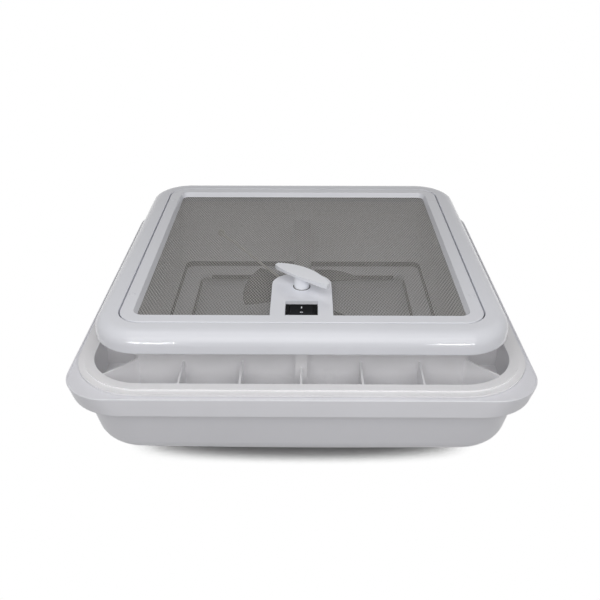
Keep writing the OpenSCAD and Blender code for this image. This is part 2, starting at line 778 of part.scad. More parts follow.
module handle() {
    lens_tip = handle_l / 2 * 1.12;
    half_w = handle_w / 2;
    lens_r = (lens_tip * lens_tip + half_w * half_w) / (2 * half_w);
    lens_c = lens_r - half_w;
    crown_r = 300;
    handle_top = top_z + handle_rise;
    arch_z = handle_top - handle_t;
    arch_reach = handle_l / 2 - 4;
    arch_h = handle_end - handle_t;
    arch_r = (arch_reach * arch_reach + arch_h * arch_h) / (2 * arch_h);
    color("white") translate([0, spindle_y, 0]) difference() {
        union() {
            translate([0, 0, socket_z]) cylinder(h = arch_z + 1 - socket_z, r = stem_r);
            rotate(handle_turn) difference() {
                intersection() {
                    translate([0, 0, handle_top - handle_end]) linear_extrude(handle_end) intersection() {
                        translate([0, lens_c]) circle(lens_r, $fn = 160);
                        translate([0, -lens_c]) circle(lens_r, $fn = 160);
                        square([handle_l, handle_w + 2], center = true);
                    }
                    translate([0, 0, handle_top - crown_r]) sphere(crown_r, $fn = 160);
                }
                translate([0, 0, arch_z - arch_r]) rotate([90, 0, 0])
                    cylinder(h = 2 * handle_w, r = arch_r, center = true, $fn = 200);
            }
        }
        translate([0, 0, socket_z - 1]) cylinder(h = hex_top + 1 - socket_z + 1, r = (hex_af / 2 + 0.1) / cos(30), $fn = 6);
    }
}

boss_out = 12;
boss_drop = 4.5;
boss_z = mesh_z - boss_drop;

module stem_clip() {
    color("silver") translate([0, spindle_y, boss_z - loose - 1.5]) difference() {
        cylinder(h = 1.5, r = stem_r + 3);
        translate([0, 0, -1]) cylinder(h = 4, r = stem_r + run);
    }
}

// Carrier of the crank drive

bracket_plate_t = 3;
cheek_t = 4;
bracket_screw_x = hub_x1 + play + cheek_t + head_r + play;
bracket_edge = 1;
bracket_half_w = bracket_screw_x + head_r + bracket_edge;
bracket_screw_low = 16;
bracket_screw_high = 22;
bracket_screw_z = [pivot_z - bracket_screw_low, pivot_z + bracket_screw_high];

bracket_eye_r = 9;
// Fork over the sector that carries the front end of the motor strap
fork_clear = 1.5;
fork_x = sector_w / 2 + fork_clear;
fork_y0 = spindle_y + bracket_eye_r;
fork_short = 8;
fork_y1 = -fan_r - fork_short;
bridge_clear = 1;
bridge_z = pivot_z + sector_r + sector_addendum + bridge_clear;

module gear_bracket() {
    front = -collar_in;
    face = front + bracket_plate_t;
    eye_r = bracket_eye_r;
    cheek_low = 16;
    out0 = hub_x0 - play - cheek_t;
    out1 = hub_x1 + play;
    color("whitesmoke") difference() {
        union() {
            block(-bracket_half_w, bracket_half_w, front, face, shelf_low + 2, shelf_high + bracket_shelf_t);
            for (z = [shelf_low - bracket_shelf_t, shelf_high]) {
                block(-eye_r, eye_r, face - eps, spindle_y, z, z + bracket_shelf_t);
                translate([0, spindle_y, z]) cylinder(h = bracket_shelf_t, r = eye_r);
            }
            block(-eye_r, eye_r, front, face, collar_z + play, shelf_low + 3);
            for (x = [out0, out1]) along_x(x, x + cheek_t) {
                polygon([[face - eps, pivot_z - cheek_low], [pivot_y, pivot_z - arm_eye_r],
                    [pivot_y, pivot_z + arm_eye_r], [face - eps, pivot_z + cheek_low]]);
                translate([pivot_y, pivot_z]) circle(arm_eye_r);
            }
            for (x = [-eye_r, fork_x]) {
                block(x, x + eye_r - fork_x, spindle_y, fork_y1, shelf_high, shelf_high + bracket_shelf_t);
                block(x, x + eye_r - fork_x, fork_y0, fork_y1, shelf_high, strap_z);
            }
            block(-eye_r, eye_r, fork_y0, fork_y1, bridge_z, strap_z);
        }
        translate([0, spindle_y, shelf_low - bracket_shelf_t - 1])
            cylinder(h = shelf_high - shelf_low + 2 * bracket_shelf_t + 2, r = shaft_r + run);
        translate([0, pivot_y, pivot_z]) rod_x(out0 - 1, out1 + cheek_t + 1, arm_pin_r + run);
        bracket_screw_places() rod_y(-bracket_plate_t - 1, 1, screw_r + run);
        strap_front_places() translate([0, 0, -strap_t - strap_screw_in - 1])
            cylinder(h = strap_screw_in + strap_t + 2, r = screw_r + run);
    }
}

module bracket_screw_places() {
    for (x = [-bracket_screw_x, bracket_screw_x], z = bracket_screw_z)
        translate([x, -collar_in + bracket_plate_t, z]) children();
}

module bracket_screws() {
    color("silver") bracket_screw_places() rotate([-90, 0, 0]) screw(bracket_plate_t);
}

module arm_pin() {
    out0 = hub_x0 - play - cheek_t;
    out1 = hub_x1 + play + cheek_t;
    color("silver") translate([0, pivot_y, pivot_z]) {
        rod_x(out0 - 1, out1 + 1, arm_pin_r);
        rod_x(out0 - 2, out0 - 0.1, arm_pin_r + 1.5);
        rod_x(out1 + 0.1, out1 + 2, arm_pin_r + 1.5);
    }
}

// Roof frame

module roof_frame() {
    rib_top = seat_z - rib_sink;
    rib_low = floor_z - frame_wall / 2;
    eye_gap = 0.4;
    web_reach = (ring_in - cc) - (collar_half - cc) + 1;
    boss_depth = 14;
    color("gainsboro") difference() {
        union() {
            ring_sweep() polygon([[collar_in, collar_z], [collar_half, collar_z], [collar_half, floor_z - frame_wall],
                [wall_out, floor_z - frame_wall], [wall_out, seat_z - flange_t], [ring_out, seat_z - flange_t],
                [ring_out, seat_z - seat_step], [ring_mid, seat_z - seat_step], [ring_mid, seat_z], [ring_in, seat_z],
                [ring_in, floor_z], [collar_half, floor_z], [collar_half, collar_top], [collar_in, collar_top]]);
            four_sides() {
                for (i = [-rib_pairs:rib_pairs]) block(i * rib_pitch - rib_t / 2, i * rib_pitch + rib_t / 2,
                    collar_half - 1, ring_in + 1, rib_low, rib_top);
                block(-pilaster_w / 2, pilaster_w / 2, collar_half - 1, collar_half + pilaster_out, rib_low, collar_top);
                translate([cc, cc, 0]) rotate(-45) block(-rib_t / 2, rib_t / 2, collar_half - cc - 1,
                    collar_half - cc + web_reach, rib_low, rib_top);
            }
            hinge_at() {
                block(-eye_w / 2, eye_w / 2, ring_out - 2, hinge_y, rim_z + eye_gap, seat_z - 0.2);
                at_hinge_axis() rod_x(-eye_w / 2, eye_w / 2, knuckle_r);
            }
        }
        hinge_at() at_hinge_axis() rod_x(-eye_w, eye_w, hinge_pin_r + run);
        four_sides() translate([0, collar_half + pilaster_out / 2, collar_top - boss_depth])
            cylinder(h = boss_depth + 1, r = screw_r + run);
    }
}

// Garnish, screen frame and mesh

head_sink = 0.4;
head_room = 0.6;
garnish_screw_l = 12;

module garnish() {
    nose_x = garnish_half - nose_r;
    nose_z = top_z - nose_r;
    shell_r = nose_r - garnish_wall;
    hem = 1.5;
    pocket_wall = 3;
    screw_place = collar_half + pilaster_out / 2;
    color("white") difference() {
        ring_sweep() polygon(concat(
            [[pocket_half, pocket_z], [pocket_half, top_z]],
            [for (p = arc(nose_x, nose_z, nose_r, 90, 0, 14)) p],
            [[garnish_half, garnish_z + hem], [garnish_half - hem, garnish_z],
             [garnish_half - garnish_wall, garnish_z]],
            [for (p = arc(nose_x, nose_z, shell_r, 0, 90, 10)) p],
            [[pocket_half + pocket_wall, nose_z + shell_r], [pocket_half + pocket_wall, ledge_z],
             [garnish_in, ledge_z], [garnish_in, pocket_z]]));
        four_sides() translate([0, screw_place, 0]) {
            translate([0, 0, ledge_z - 1]) cylinder(h = ledge_t + 2, r = screw_r + 0.4);
            translate([0, 0, pocket_z - head_h - head_sink]) cylinder(h = head_h + 1, r = head_r + head_room);
        }
        cap_places() translate([0, 0, ledge_z - 1]) cylinder(h = ledge_t + 2, r = screw_r + run);
    }
}

module garnish_screws() {
    color("silver") four_sides() translate([0, collar_half + pilaster_out / 2, pocket_z - head_h - head_sink])
        screw(garnish_screw_l);
}

cap_in = 5.8;
cap_x = screen_half - cap_in;

module cap_places() {
    for (s = [-1, 1], y = [-cap_front, cap_back]) translate([s * cap_x, y, 0]) children();
}

// Outline of the console tongue, drawn in by inset
function tongue_outline(inset, base) = let (h = tongue_half - inset, r = tongue_r - inset,
    y = spindle_y + tongue_reach - inset - r) concat([[-h, base], [h, base]],
    arc(h - r, y, r, 0, 90, 10), arc(r - h, y, r, 90, 180, 10));

module screen_frame() {
    edge = 0.8;
    skirt_t = 2;
    base = -window_top - 1;
    recess_half = recess_w / 2;
    back = switch_y + recess_l / 2;
    floor_low = recess_z - recess_floor_t;
    screw_seat = mesh_z + 1;
    color("white") difference() {
        union() {
            ring_sweep() polygon([[rebate_half, pocket_z], [screen_half, pocket_z], [screen_half, top_z - edge],
                [screen_half - edge, top_z], [window_top, top_z], [window_half, mesh_z], [rebate_half, mesh_z]]);
            translate([0, 0, top_z - console_t]) linear_extrude(console_t) polygon(tongue_outline(0, base));
            translate([0, 0, mesh_z]) linear_extrude(mesh_drop - console_t + eps) difference() {
                polygon(tongue_outline(0, base));
                polygon(tongue_outline(skirt_t, base - 1));
            }
            translate([0, spindle_y, boss_z]) cylinder(h = top_z - boss_z - 1, r = boss_out);
            block(-recess_half - recess_wall, recess_half + recess_wall, -window_front - recess_wall, back + recess_wall,
                floor_low, top_z - 1);
        }
        translate([0, spindle_y, boss_z - 1]) cylinder(h = top_z - boss_z + 2, r = stem_r + play);
        block(-recess_half, recess_half, -window_front, back, recess_z, top_z + 1);
        block(-switch_w / 2 - 0.2, switch_w / 2 + 0.2, switch_y - switch_l / 2 - 0.2, switch_y + switch_l / 2 + 0.2,
            floor_low - 1, recess_z + 1);
        cap_places() {
            translate([0, 0, pocket_z - 1]) cylinder(h = screen_h, r = screw_r + run);
            translate([0, 0, screw_seat]) cylinder(h = top_z, r = cap_r + run);
        }
    }
}

module screen_screws() {
    color("silver") cap_places() translate([0, 0, mesh_z + 1]) screw(mesh_z + 1 - ledge_z, hr = cap_r - 0.2);
}

module screw_caps() {
    cap_h = 1.6;
    proud = 0.3;
    color("white") cap_places() translate([0, 0, top_z + proud - cap_h]) cylinder(h = cap_h, r = cap_r);
}

module flyscreen_mesh() {
    half = rebate_half - 0.5;
    pitch = 2 * window_half / mesh_cells;
    gap = pitch - strand_w;
    tuck = 4;
    hem = 1.5;
    base = -half - 1;
    color("gray") translate([0, 0, mesh_z - mesh_t]) linear_extrude(mesh_t) difference() {
        polygon(square_outline(half, half - cc));
        polygon(tongue_outline(tuck, base));
        difference() {
            for (i = [0:mesh_cells - 1], j = [0:mesh_cells - 1])
                translate([pitch * (i + 0.5) - window_half, pitch * (j + 0.5) - window_half]) square(gap, center = true);
            polygon(tongue_outline(-hem, base));
        }
    }
}

module screen_spline() {
    outer = rebate_half - 0.4;
    bevel = 0.6;
    top = mesh_z - mesh_t;
    color("dimgray") ring_sweep() polygon([[outer - spline_w, pocket_z + bevel], [outer - spline_w + bevel, pocket_z],
        [outer - bevel, pocket_z], [outer, pocket_z + bevel], [outer, top], [outer - spline_w, top]]);
}

// Switch

module switch_body() {
    rim_w = recess_w - 0.6;
    rim_l = recess_l - 0.6;
    case_z = recess_z - switch_depth;
    half_w = switch_w / 2;
    half_l = switch_l / 2;
    well_w = rocker_half_w + 0.4;
    well_l = half_l - 0.8;
    color("black") translate([0, switch_y, 0]) difference() {
        union() {
            block(-rim_w / 2, rim_w / 2, -rim_l / 2, rim_l / 2, recess_z, recess_z + bezel_t);
            block(-half_w, half_w, -half_l, half_l, case_z, recess_z + eps);
        }
        block(-well_w, well_w, -well_l, well_l, rocker_axis_z - 7, recess_z + bezel_t + 1);
        translate([0, 0, rocker_axis_z]) rod_x(-half_w + 0.2, half_w - 0.2, 1.5 + run);
    }
}

module switch_rocker() {
    rise = 6.1;
    dip = 1.1;
    color("black") translate([0, switch_y, rocker_axis_z]) {
        along_x(-rocker_half_w, rocker_half_w) polygon([[-rocker_half_l, 1.5], [-rocker_half_l, rise], [0, rise - dip],
            [rocker_half_l, rise], [rocker_half_l, 1.5], [4, -4], [-4, -4]]);
        rod_x(-rocker_half_w - 0.9, rocker_half_w + 0.9, 1.5);
    }
}

module switch_terminals() {
    blade_w = 6.3;
    blade_t = 0.8;
    blade_l = 8;
    spacing = 7;
    color("silver") for (i = [-1:1]) translate([0, switch_y + i * spacing, recess_z - switch_depth - blade_l])
        block(-blade_w / 2, blade_w / 2, -blade_t / 2, blade_t / 2, 0, blade_l);
}

// Fan, motor and strap

blade_t = 1.8;
blade_r_n = 6;
blade_a_n = 8;
// Part turn of a blade at its root and at its tip, in degrees
blade_root_span = 44;
blade_tip_span = 66;

// One broad blade: a helical sheet that widens outwards
module blade() {
    inner = hub_out - 1;
    nr = blade_r_n;
    na = blade_a_n;
    row = na + 1;
    function point(i, j, s) = let (f = i / nr, r = inner + (fan_r - inner) * f, g = j / na - 0.5,
        span = blade_root_span + (blade_tip_span - blade_root_span) * sin(90 * f),
        a = 2 * g * span / 2 * (1 - 0.1 * f * f))
        [r * cos(a), r * sin(a), -g * blade_h * (1 - 0.25 * f) + s * blade_t / 2];
    pts = [for (s = [1, -1], i = [0:nr], j = [0:na]) point(i, j, s)];
    low = (nr + 1) * row;
    faces = concat(
        [for (i = [0:nr - 1], j = [0:na - 1]) let (a = i * row + j) each
            [[a, a + row, a + row + 1], [a, a + row + 1, a + 1]]],
        [for (i = [0:nr - 1], j = [0:na - 1]) let (a = low + i * row + j) each
            [[a, a + row + 1, a + row], [a, a + 1, a + row + 1]]],
        [for (i = [0:nr - 1], e = [0, na]) let (a = i * row + e, b = a + row) each e == 0 ?
            [[a, low + a, low + b], [a, low + b, b]] : [[a, low + b, low + a], [a, b, low + b]]],
        [for (j = [0:na - 1], e = [0, nr]) let (a = e * row + j, b = a + 1) each e == 0 ?
            [[a, low + b, low + a], [a, b, low + b]] : [[a, low + a, low + b], [a, low + b, b]]]);
    polyhedron(pts, [for (f = faces) [f[2], f[1], f[0]]], convexity = 4);
}

module fan() {
    hub_h = fan_z + 10 - hub_z;
    boss_r = 5;
    first_blade = 167;
    color("dimgray") difference() {
        union() {
            translate([0, 0, hub_z]) difference() {
                cylinder(h = hub_h, r = hub_out);
                translate([0, 0, hub_floor_t]) cylinder(h = hub_h, r = hub_in);
            }
            translate([0, 0, hub_z]) cylinder(h = hub_floor_t + 1.2, r = boss_r);
            for (i = [0:blade_n - 1]) rotate(first_blade + 360 * i / blade_n) translate([0, 0, fan_z]) blade();
        }
        translate([0, 0, hub_z - 1]) cylinder(h = hub_floor_t + 4, r = motor_shaft_r + 0.02);
    }
}

module fan_clip() {
    color("silver") translate([0, 0, hub_z - 1.5]) difference() {
        cylinder(h = 1.4, r = clip_r);
        translate([0, 0, -1]) cylinder(h = 4, r = motor_shaft_r + 0.02);
    }
}

shaft_out = 2;
shaft_in = 14;

module motor_shaft() {
    color("silver") translate([0, 0, hub_z - shaft_out]) cylinder(h = motor_z + shaft_in - hub_z, r = motor_shaft_r);
}

module fan_motor() {
    color("dimgray") translate([0, 0, motor_z]) difference() {
        cylinder(h = strap_z - motor_z, r = motor_r);
        translate([0, 0, -1]) cylinder(h = shaft_in, r = motor_shaft_r + run);
        motor_screw_places() translate([0, 0, strap_z - motor_z - 6]) cylinder(h = 7, r = screw_r + run);
    }
}

module motor_end_cap() {
    bearing_r = 5;
    color("black") translate([0, 0, cap_z]) difference() {
        union() {
            cylinder(h = motor_z - cap_z, r = motor_r - 0.5);
            translate([0, 0, -2]) cylinder(h = 3, r = bearing_r);
        }
        translate([0, 0, -3]) cylinder(h = 8, r = motor_shaft_r + run);
    }
}

module motor_screw_places() {
    for (s = [-1, 1]) translate([0, s * (motor_r - 8), 0]) children();
}

module motor_screws() {
    color("silver") translate([0, 0, strap_z + strap_t]) motor_screw_places() screw(strap_t + 5);
}

strap_foot = 20;
strap_screw_x = 5;
strap_screw_drop = 12;
strap_screw_z = strap_z - strap_screw_drop;
strap_screw_in = 5;

// Screws of the strap's foot on the rear wall
module strap_rear_places() {
    for (s = [-1, 1]) translate([s * strap_screw_x, collar_in - strap_t, strap_screw_z]) rotate([90, 0, 0]) children();
}

// Screws of the strap's front end on the fork
module strap_front_places() {
    for (s = [-1, 1]) translate([s * strap_screw_x, (fork_y0 + fork_y1) / 2, strap_z + strap_t]) children();
}

module motor_strap() {
    half = strap_w / 2;
    curb_h = 4;
    color("silver") difference() {
        union() {
            block(-half, half, fork_y0, collar_in, strap_z, strap_z + strap_t);
            block(-half, half, collar_in - strap_t, collar_in, strap_z - strap_foot, strap_z + eps);
            for (x = [-half, half - strap_t], y = [[fork_y1 + 2, -motor_r - 4], [motor_r + 4, collar_in - 12]])
                block(x, x + strap_t, y[0], y[1], strap_z + strap_t - eps, strap_z + strap_t + curb_h);
        }
        motor_screw_places() translate([0, 0, strap_z - 1]) cylinder(h = strap_t + 2, r = screw_r + run);
        strap_rear_places() translate([0, 0, -strap_t - 1]) cylinder(h = strap_t + 2, r = screw_r + run);
        strap_front_places() translate([0, 0, -strap_t - 1]) cylinder(h = strap_t + 2, r = screw_r + run);
    }
}

module strap_screws() {
    color("silver") {
        strap_rear_places() screw(strap_t);
        strap_front_places() screw(strap_t + strap_screw_in);
    }
}

// Motor lead, from the motor's side to the bush on the rear wall

lead_r = 1.6;
lead_n = 8;
lead_steps = 14;
lead_drop = 5;
lead_z = strap_z - lead_drop;
lead_stub = 6;
gland_l = 4;
bush_x = -118;
bush_drop = 9.5;
bush_z = seat_z - bush_drop;
bush_l = 5;
lead_from = [-motor_r - lead_stub, 0, lead_z];
lead_to = [bush_x, collar_in - bush_l - 2, bush_z];
// Handles of the lead's bend at the motor and at the wall
lead_pull = [[-17, 10, 6], [28, -45, 5.5]];
function lead_at(t) = pow(1 - t, 3) * lead_from + 3 * pow(1 - t, 2) * t * (lead_from + lead_pull[0])
    + 3 * (1 - t) * t * t * (lead_to + lead_pull[1]) + pow(t, 3) * lead_to;
lead_route = concat([[-motor_r - loose, 0, lead_z]], [for (i = [0:lead_steps]) lead_at(i / lead_steps)],
    [[bush_x, collar_in - loose, bush_z]]);

function unit(v) = v / norm(v);

module tube(route, r, sides) {
    n = len(route);
    pts = [for (i = [0:n - 1]) let (d = unit(route[min(i + 1, n - 1)] - route[max(i - 1, 0)]),
        u = unit(cross(d, [0, 0, 1])), v = cross(u, d))
        for (k = [0:sides - 1]) route[i] + r * (u * cos(360 * k / sides) + v * sin(360 * k / sides))];
    faces = concat([[for (k = [0:sides - 1]) k]],
        [for (i = [0:n - 2], k = [0:sides - 1]) let (a = i * sides + k, b = i * sides + (k + 1) % sides) each
            [[a, a + sides, b + sides], [a, b + sides, b]]],
        [[for (k = [sides - 1:-1:0]) (n - 1) * sides + k]]);
    polyhedron(pts, faces, convexity = 4);
}

module fan_lead() {
    color("ivory") tube(lead_route, lead_r, lead_n);
}

module lead_grommets() {
    color("dimgray") {
        translate([0, 0, lead_z]) difference() {
            rod_x(-motor_r - gland_l, -motor_r, lead_r + 1.8);
            rod_x(-motor_r - gland_l - 1, -motor_r + 1, lead_r + run);
        }
        translate([bush_x, 0, bush_z]) difference() {
            rod_y(collar_in - bush_l, collar_in, lead_r + 3);
            rod_y(collar_in - bush_l - 1, collar_in + 1, lead_r + run);
        }
    }
}

lid_dome();
lid_rim();
lid_inner_frame();
lid_seal();
lid_edge_trim();
lid_hinge_leaves();
lid_hinge_screws();
hinge_pins();
lift_track();
track_screws();
roof_frame();
garnish();
garnish_screws();
screen_frame();
flyscreen_mesh();
screen_spline();
screen_screws();
screw_caps();
switch_body();
switch_terminals();
switch_rocker();
handle();
stem_clip();
spindle();
worm();
gear_bracket();
bracket_screws();
arm_pin();
lift_arm();
roller_pin();
arm_roller();
motor_strap();
strap_screws();
motor_screws();
fan_motor();
motor_end_cap();
motor_shaft();
fan();
fan_clip();
fan_lead();
lead_grommets();
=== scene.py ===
"""Looks of the caravan roof vent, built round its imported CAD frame.

Metres, +Z up, +Y from the crank handle to the lid hinge. The vent lies upside down on its lid.
"""

import json
import math

import bpy
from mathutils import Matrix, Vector


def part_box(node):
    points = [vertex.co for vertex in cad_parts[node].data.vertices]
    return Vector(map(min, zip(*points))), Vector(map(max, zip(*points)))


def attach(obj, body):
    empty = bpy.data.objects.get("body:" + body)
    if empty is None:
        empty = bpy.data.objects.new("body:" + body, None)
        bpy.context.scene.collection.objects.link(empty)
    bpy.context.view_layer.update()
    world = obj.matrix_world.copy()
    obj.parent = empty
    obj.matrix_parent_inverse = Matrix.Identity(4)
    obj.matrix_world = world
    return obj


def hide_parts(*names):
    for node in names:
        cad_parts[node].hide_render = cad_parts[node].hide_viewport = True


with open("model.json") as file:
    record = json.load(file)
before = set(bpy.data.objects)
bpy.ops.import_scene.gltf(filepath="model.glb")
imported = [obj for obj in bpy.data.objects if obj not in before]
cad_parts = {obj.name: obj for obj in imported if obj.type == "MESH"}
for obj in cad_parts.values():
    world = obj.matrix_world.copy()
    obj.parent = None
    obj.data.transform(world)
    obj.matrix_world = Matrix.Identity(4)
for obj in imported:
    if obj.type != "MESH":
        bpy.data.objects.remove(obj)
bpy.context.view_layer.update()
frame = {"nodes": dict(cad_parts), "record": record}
nodes = frame["nodes"]
MM = 0.001


# Sizes that several pieces share, most of them read from the frame


def low(node):
    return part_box(node)[0]


def high(node):
    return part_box(node)[1]


CORNER_CENTRE = 160 * MM
DOME_HALF = high("lid_dome").x
BAND_Z = high("lid_dome").z
GARNISH_HALF = high("garnish").x
GARNISH_Z = low("garnish").z
TOP_Z = high("garnish").z
MESH_TOP = high("flyscreen_mesh").z
MESH_HALF = high("flyscreen_mesh").x


# Mesh helpers

SQUARE = ((-1, -1), (1, -1), (1, 1), (-1, 1))


def add_mesh(name, points, faces, sharp_deg=35.0):
    """A new mesh object, smooth except along edges sharper than sharp_deg."""
    mesh = bpy.data.meshes.new(name)
    mesh.from_pydata([tuple(p) for p in points], [], faces)
    mesh.validate()
    mesh.update()
    mesh.polygons.foreach_set("use_smooth", [True] * len(mesh.polygons))
    mesh.set_sharp_from_angle(angle=math.radians(sharp_deg))
    obj = bpy.data.objects.new(name, mesh)
    bpy.context.scene.collection.objects.link(obj)
    return obj


def bridge(first, second, count):
    """Quads between two closed rings of points, each given by the index of its first point."""
    return [(first + i, first + (i + 1) % count, second + (i + 1) % count, second + i) for i in range(count)]


def arc(cx, cy, r, start_deg, end_deg, steps):
    """Points of an arc in a profile."""
    out = []
    for i in range(steps + 1):
        a = math.radians(start_deg + (end_deg - start_deg) * i / steps)
        out.append((cx + r * math.cos(a), cy + r * math.sin(a)))
    return out


def corner_signs(quarter):
    """Signs of x and y of a square's corner, counted from +x +y against the clock."""
    return (1 if quarter in (0, 3) else -1), (1 if quarter < 2 else -1)


def ring_sweep(name, profile, centre, corner_steps=24):
    """Sweeps a closed profile of (half size, height) round a square with corners centred on centre."""
    stations = []
    for q in range(4):
        sx, sy = corner_signs(q)
        turns = [math.radians(90 * (q + i / corner_steps)) for i in range(corner_steps + 1)]
        stations += [(sx * centre, sy * centre, a) for a in turns]
    n = len(profile)
    points, faces = [], []
    for s, (cx, cy, a) in enumerate(stations):
        points += [(cx + (x - centre) * math.cos(a), cy + (x - centre) * math.sin(a), z) for x, z in profile]
        faces += bridge((s + 1) % len(stations) * n, s * n, n)
    return add_mesh(name, points, faces)


# Materials

MOTTLE_SCALE = 9
GLOSS_SCALE = 30
GRAIN_HEIGHT = 0.05 * MM
# How far the roughness swings about its middle
PLASTIC_SWING, PLATING_SWING = 0.2, 0.3


def new_material(name):
    material = bpy.data.materials.new(name)
    material.use_nodes = True
    tree = material.node_tree
    return material, tree, tree.nodes["Principled BSDF"]


def object_noise(tree, scale, detail=3.0, stretch=None):
    """A noise texture in object space, optionally stretched."""
    coords = tree.nodes.new("ShaderNodeTexCoord")
    noise = tree.nodes.new("ShaderNodeTexNoise")
    noise.inputs["Scale"].default_value = scale
    noise.inputs["Detail"].default_value = detail
    place = coords.outputs["Object"]
    if stretch:
        mapping = tree.nodes.new("ShaderNodeMapping")
        mapping.inputs["Scale"].default_value = stretch
        tree.links.new(place, mapping.inputs["Vector"])
        place = mapping.outputs["Vector"]
    tree.links.new(place, noise.inputs["Vector"])
    return noise


def vary_colour(tree, bsdf, colour, amount, noise):
    """Mottles the base colour by a small amount."""
    ramp = tree.nodes.new("ShaderNodeValToRGB")
    dark, light = ramp.color_ramp.elements
    dark.position, light.position = 0.3, 0.7
    dark.color = [c * (1 - amount) for c in colour] + [1]
    light.color = [min(1, c * (1 + amount)) for c in colour] + [1]
    tree.links.new(noise.outputs["Fac"], ramp.inputs["Fac"])
    tree.links.new(ramp.outputs["Color"], bsdf.inputs["Base Color"])


def vary_roughness(tree, bsdf, lowest, highest, noise):
    span = tree.nodes.new("ShaderNodeMapRange")
    span.inputs["To Min"].default_value = lowest
    span.inputs["To Max"].default_value = highest
    tree.links.new(noise.outputs["Fac"], span.inputs["Value"])
    tree.links.new(span.outputs["Result"], bsdf.inputs["Roughness"])


def add_bump(tree, bsdf, noise, distance, strength):
    bump = tree.nodes.new("ShaderNodeBump")
    bump.inputs["Distance"].default_value = distance
    bump.inputs["Strength"].default_value = strength
    tree.links.new(noise.outputs["Fac"], bump.inputs["Height"])
    tree.links.new(bump.outputs["Normal"], bsdf.inputs["Normal"])


def moulded_plastic(name, colour, rough, grain_mm, grain, mottle, sheen):
    """Moulded plastic: faint mottling, uneven gloss and a fine moulded grain."""
    material, tree, bsdf = new_material(name)
    bsdf.inputs["IOR"].default_value = 1.5
    bsdf.inputs["Specular IOR Level"].default_value = sheen
    vary_colour(tree, bsdf, colour, mottle, object_noise(tree, MOTTLE_SCALE))
    gloss = object_noise(tree, GLOSS_SCALE, detail=5)
    vary_roughness(tree, bsdf, rough * (1 - PLASTIC_SWING), rough * (1 + PLASTIC_SWING), gloss)
    add_bump(tree, bsdf, object_noise(tree, 1 / (grain_mm * MM), detail=2), GRAIN_HEIGHT, grain)
    return material


def plated_metal(name, colour, rough):
    """Plated metal with cloudy passivation."""
    material, tree, bsdf = new_material(name)
    bsdf.inputs["Metallic"].default_value = 1.0
    vary_colour(tree, bsdf, colour, 0.12, object_noise(tree, scale=70, detail=6))
    gloss = object_noise(tree, scale=160, detail=4)
    vary_roughness(tree, bsdf, rough * (1 - PLATING_SWING), rough * (1 + PLATING_SWING), gloss)
    return material


def rolled_aluminium(name, colour):
    """Rolled strip with fine lines along Y."""
    material, tree, bsdf = new_material(name)
    bsdf.inputs["Metallic"].default_value = 1.0
    lines = object_noise(tree, scale=900, detail=3, stretch=(1, 0.02, 1))
    vary_colour(tree, bsdf, colour, 0.06, lines)
    vary_roughness(tree, bsdf, 0.72, 0.85, lines)
    add_bump(tree, bsdf, lines, distance=0.02 * MM, strength=0.3)
    return material


def rubber(name, colour):
    material, tree, bsdf = new_material(name)
    vary_colour(tree, bsdf, colour, 0.2, object_noise(tree, scale=60, detail=4))
    vary_roughness(tree, bsdf, 0.65, 0.85, object_noise(tree, scale=200, detail=2))
    add_bump(tree, bsdf, object_noise(tree, scale=1500, detail=2), GRAIN_HEIGHT, strength=0.4)
    return material


def math_node(tree, operation):
    node = tree.nodes.new("ShaderNodeMath")
    node.operation = operation
    return node


def woven_wire(name, colour, pitch_x_mm, pitch_y_mm, shading_contrast):
    """Straight coated wires, with the crowns of the weave painted lighter and the dips painted darker: painted
    highlight and painted shade.
    """
    material, tree, bsdf = new_material(name)
    bsdf.inputs["Roughness"].default_value = 0.5
    coords = tree.nodes.new("ShaderNodeTexCoord")
    split = tree.nodes.new("ShaderNodeSeparateXYZ")
    weave = math_node(tree, "MULTIPLY")
    span = tree.nodes.new("ShaderNodeMapRange")
    span.inputs["From Min"].default_value = -1
    # Dark end is painted shade in the dips, light end is painted highlight on the crowns.
    weave_shade = tree.nodes.new("ShaderNodeMix")
    weave_shade.data_type = "RGBA"
    weave_shade.inputs["A"].default_value = [c * (1 - shading_contrast) for c in colour] + [1]
    weave_shade.inputs["B"].default_value = [c * (1 + shading_contrast) for c in colour] + [1]
    tree.links.new(coords.outputs["Object"], split.inputs[0])
    for socket, axis, pitch_mm in ((0, "X", pitch_x_mm), (1, "Y", pitch_y_mm)):
        turns = math_node(tree, "MULTIPLY")
        turns.inputs[1].default_value = math.pi / (pitch_mm * MM)
        wave = math_node(tree, "COSINE")
        tree.links.new(split.outputs[axis], turns.inputs[0])
        tree.links.new(turns.outputs[0], wave.inputs[0])
        tree.links.new(wave.outputs[0], weave.inputs[socket])
    tree.links.new(weave.outputs[0], span.inputs["Value"])
    tree.links.new(span.outputs["Result"], weave_shade.inputs["Factor"])
    tree.links.new(weave_shade.outputs["Result"], bsdf.inputs["Base Color"])
    return material


# Colour, roughness, grain size in mm, grain strength, mottling, sheen
PLASTICS = {
    "gloss_white": ((0.85, 0.86, 0.912), 0.07, 6, 0.05, 0.015, 0.4),
    "body_white": ((0.87, 0.87, 0.912), 0.34, 0.9, 0.25, 0.015, 0.3),
    "frame_white": ((0.955, 0.95, 0.966), 0.34, 0.9, 0.25, 0.015, 0.3),
    "handle_white": ((0.90, 0.915, 0.96), 0.14, 4, 0.05, 0.015, 0.4),
    "natural_nylon": ((0.78, 0.76, 0.69), 0.42, 1.2, 0.2, 0.015, 0.5),
    "black_plastic": ((0.005, 0.005, 0.006), 0.45, 0.5, 0.5, 0.1, 0.05),
    "fan_grey": ((0.05, 0.05, 0.053), 0.4, 1.0, 0.3, 0.06, 0.5),
    "motor_grey": ((0.09, 0.09, 0.095), 0.38, 0.8, 0.4, 0.08, 0.5),
    "lead_sheath": ((0.80, 0.79, 0.74), 0.45, 1.5, 0.1, 0.015, 0.5),
}

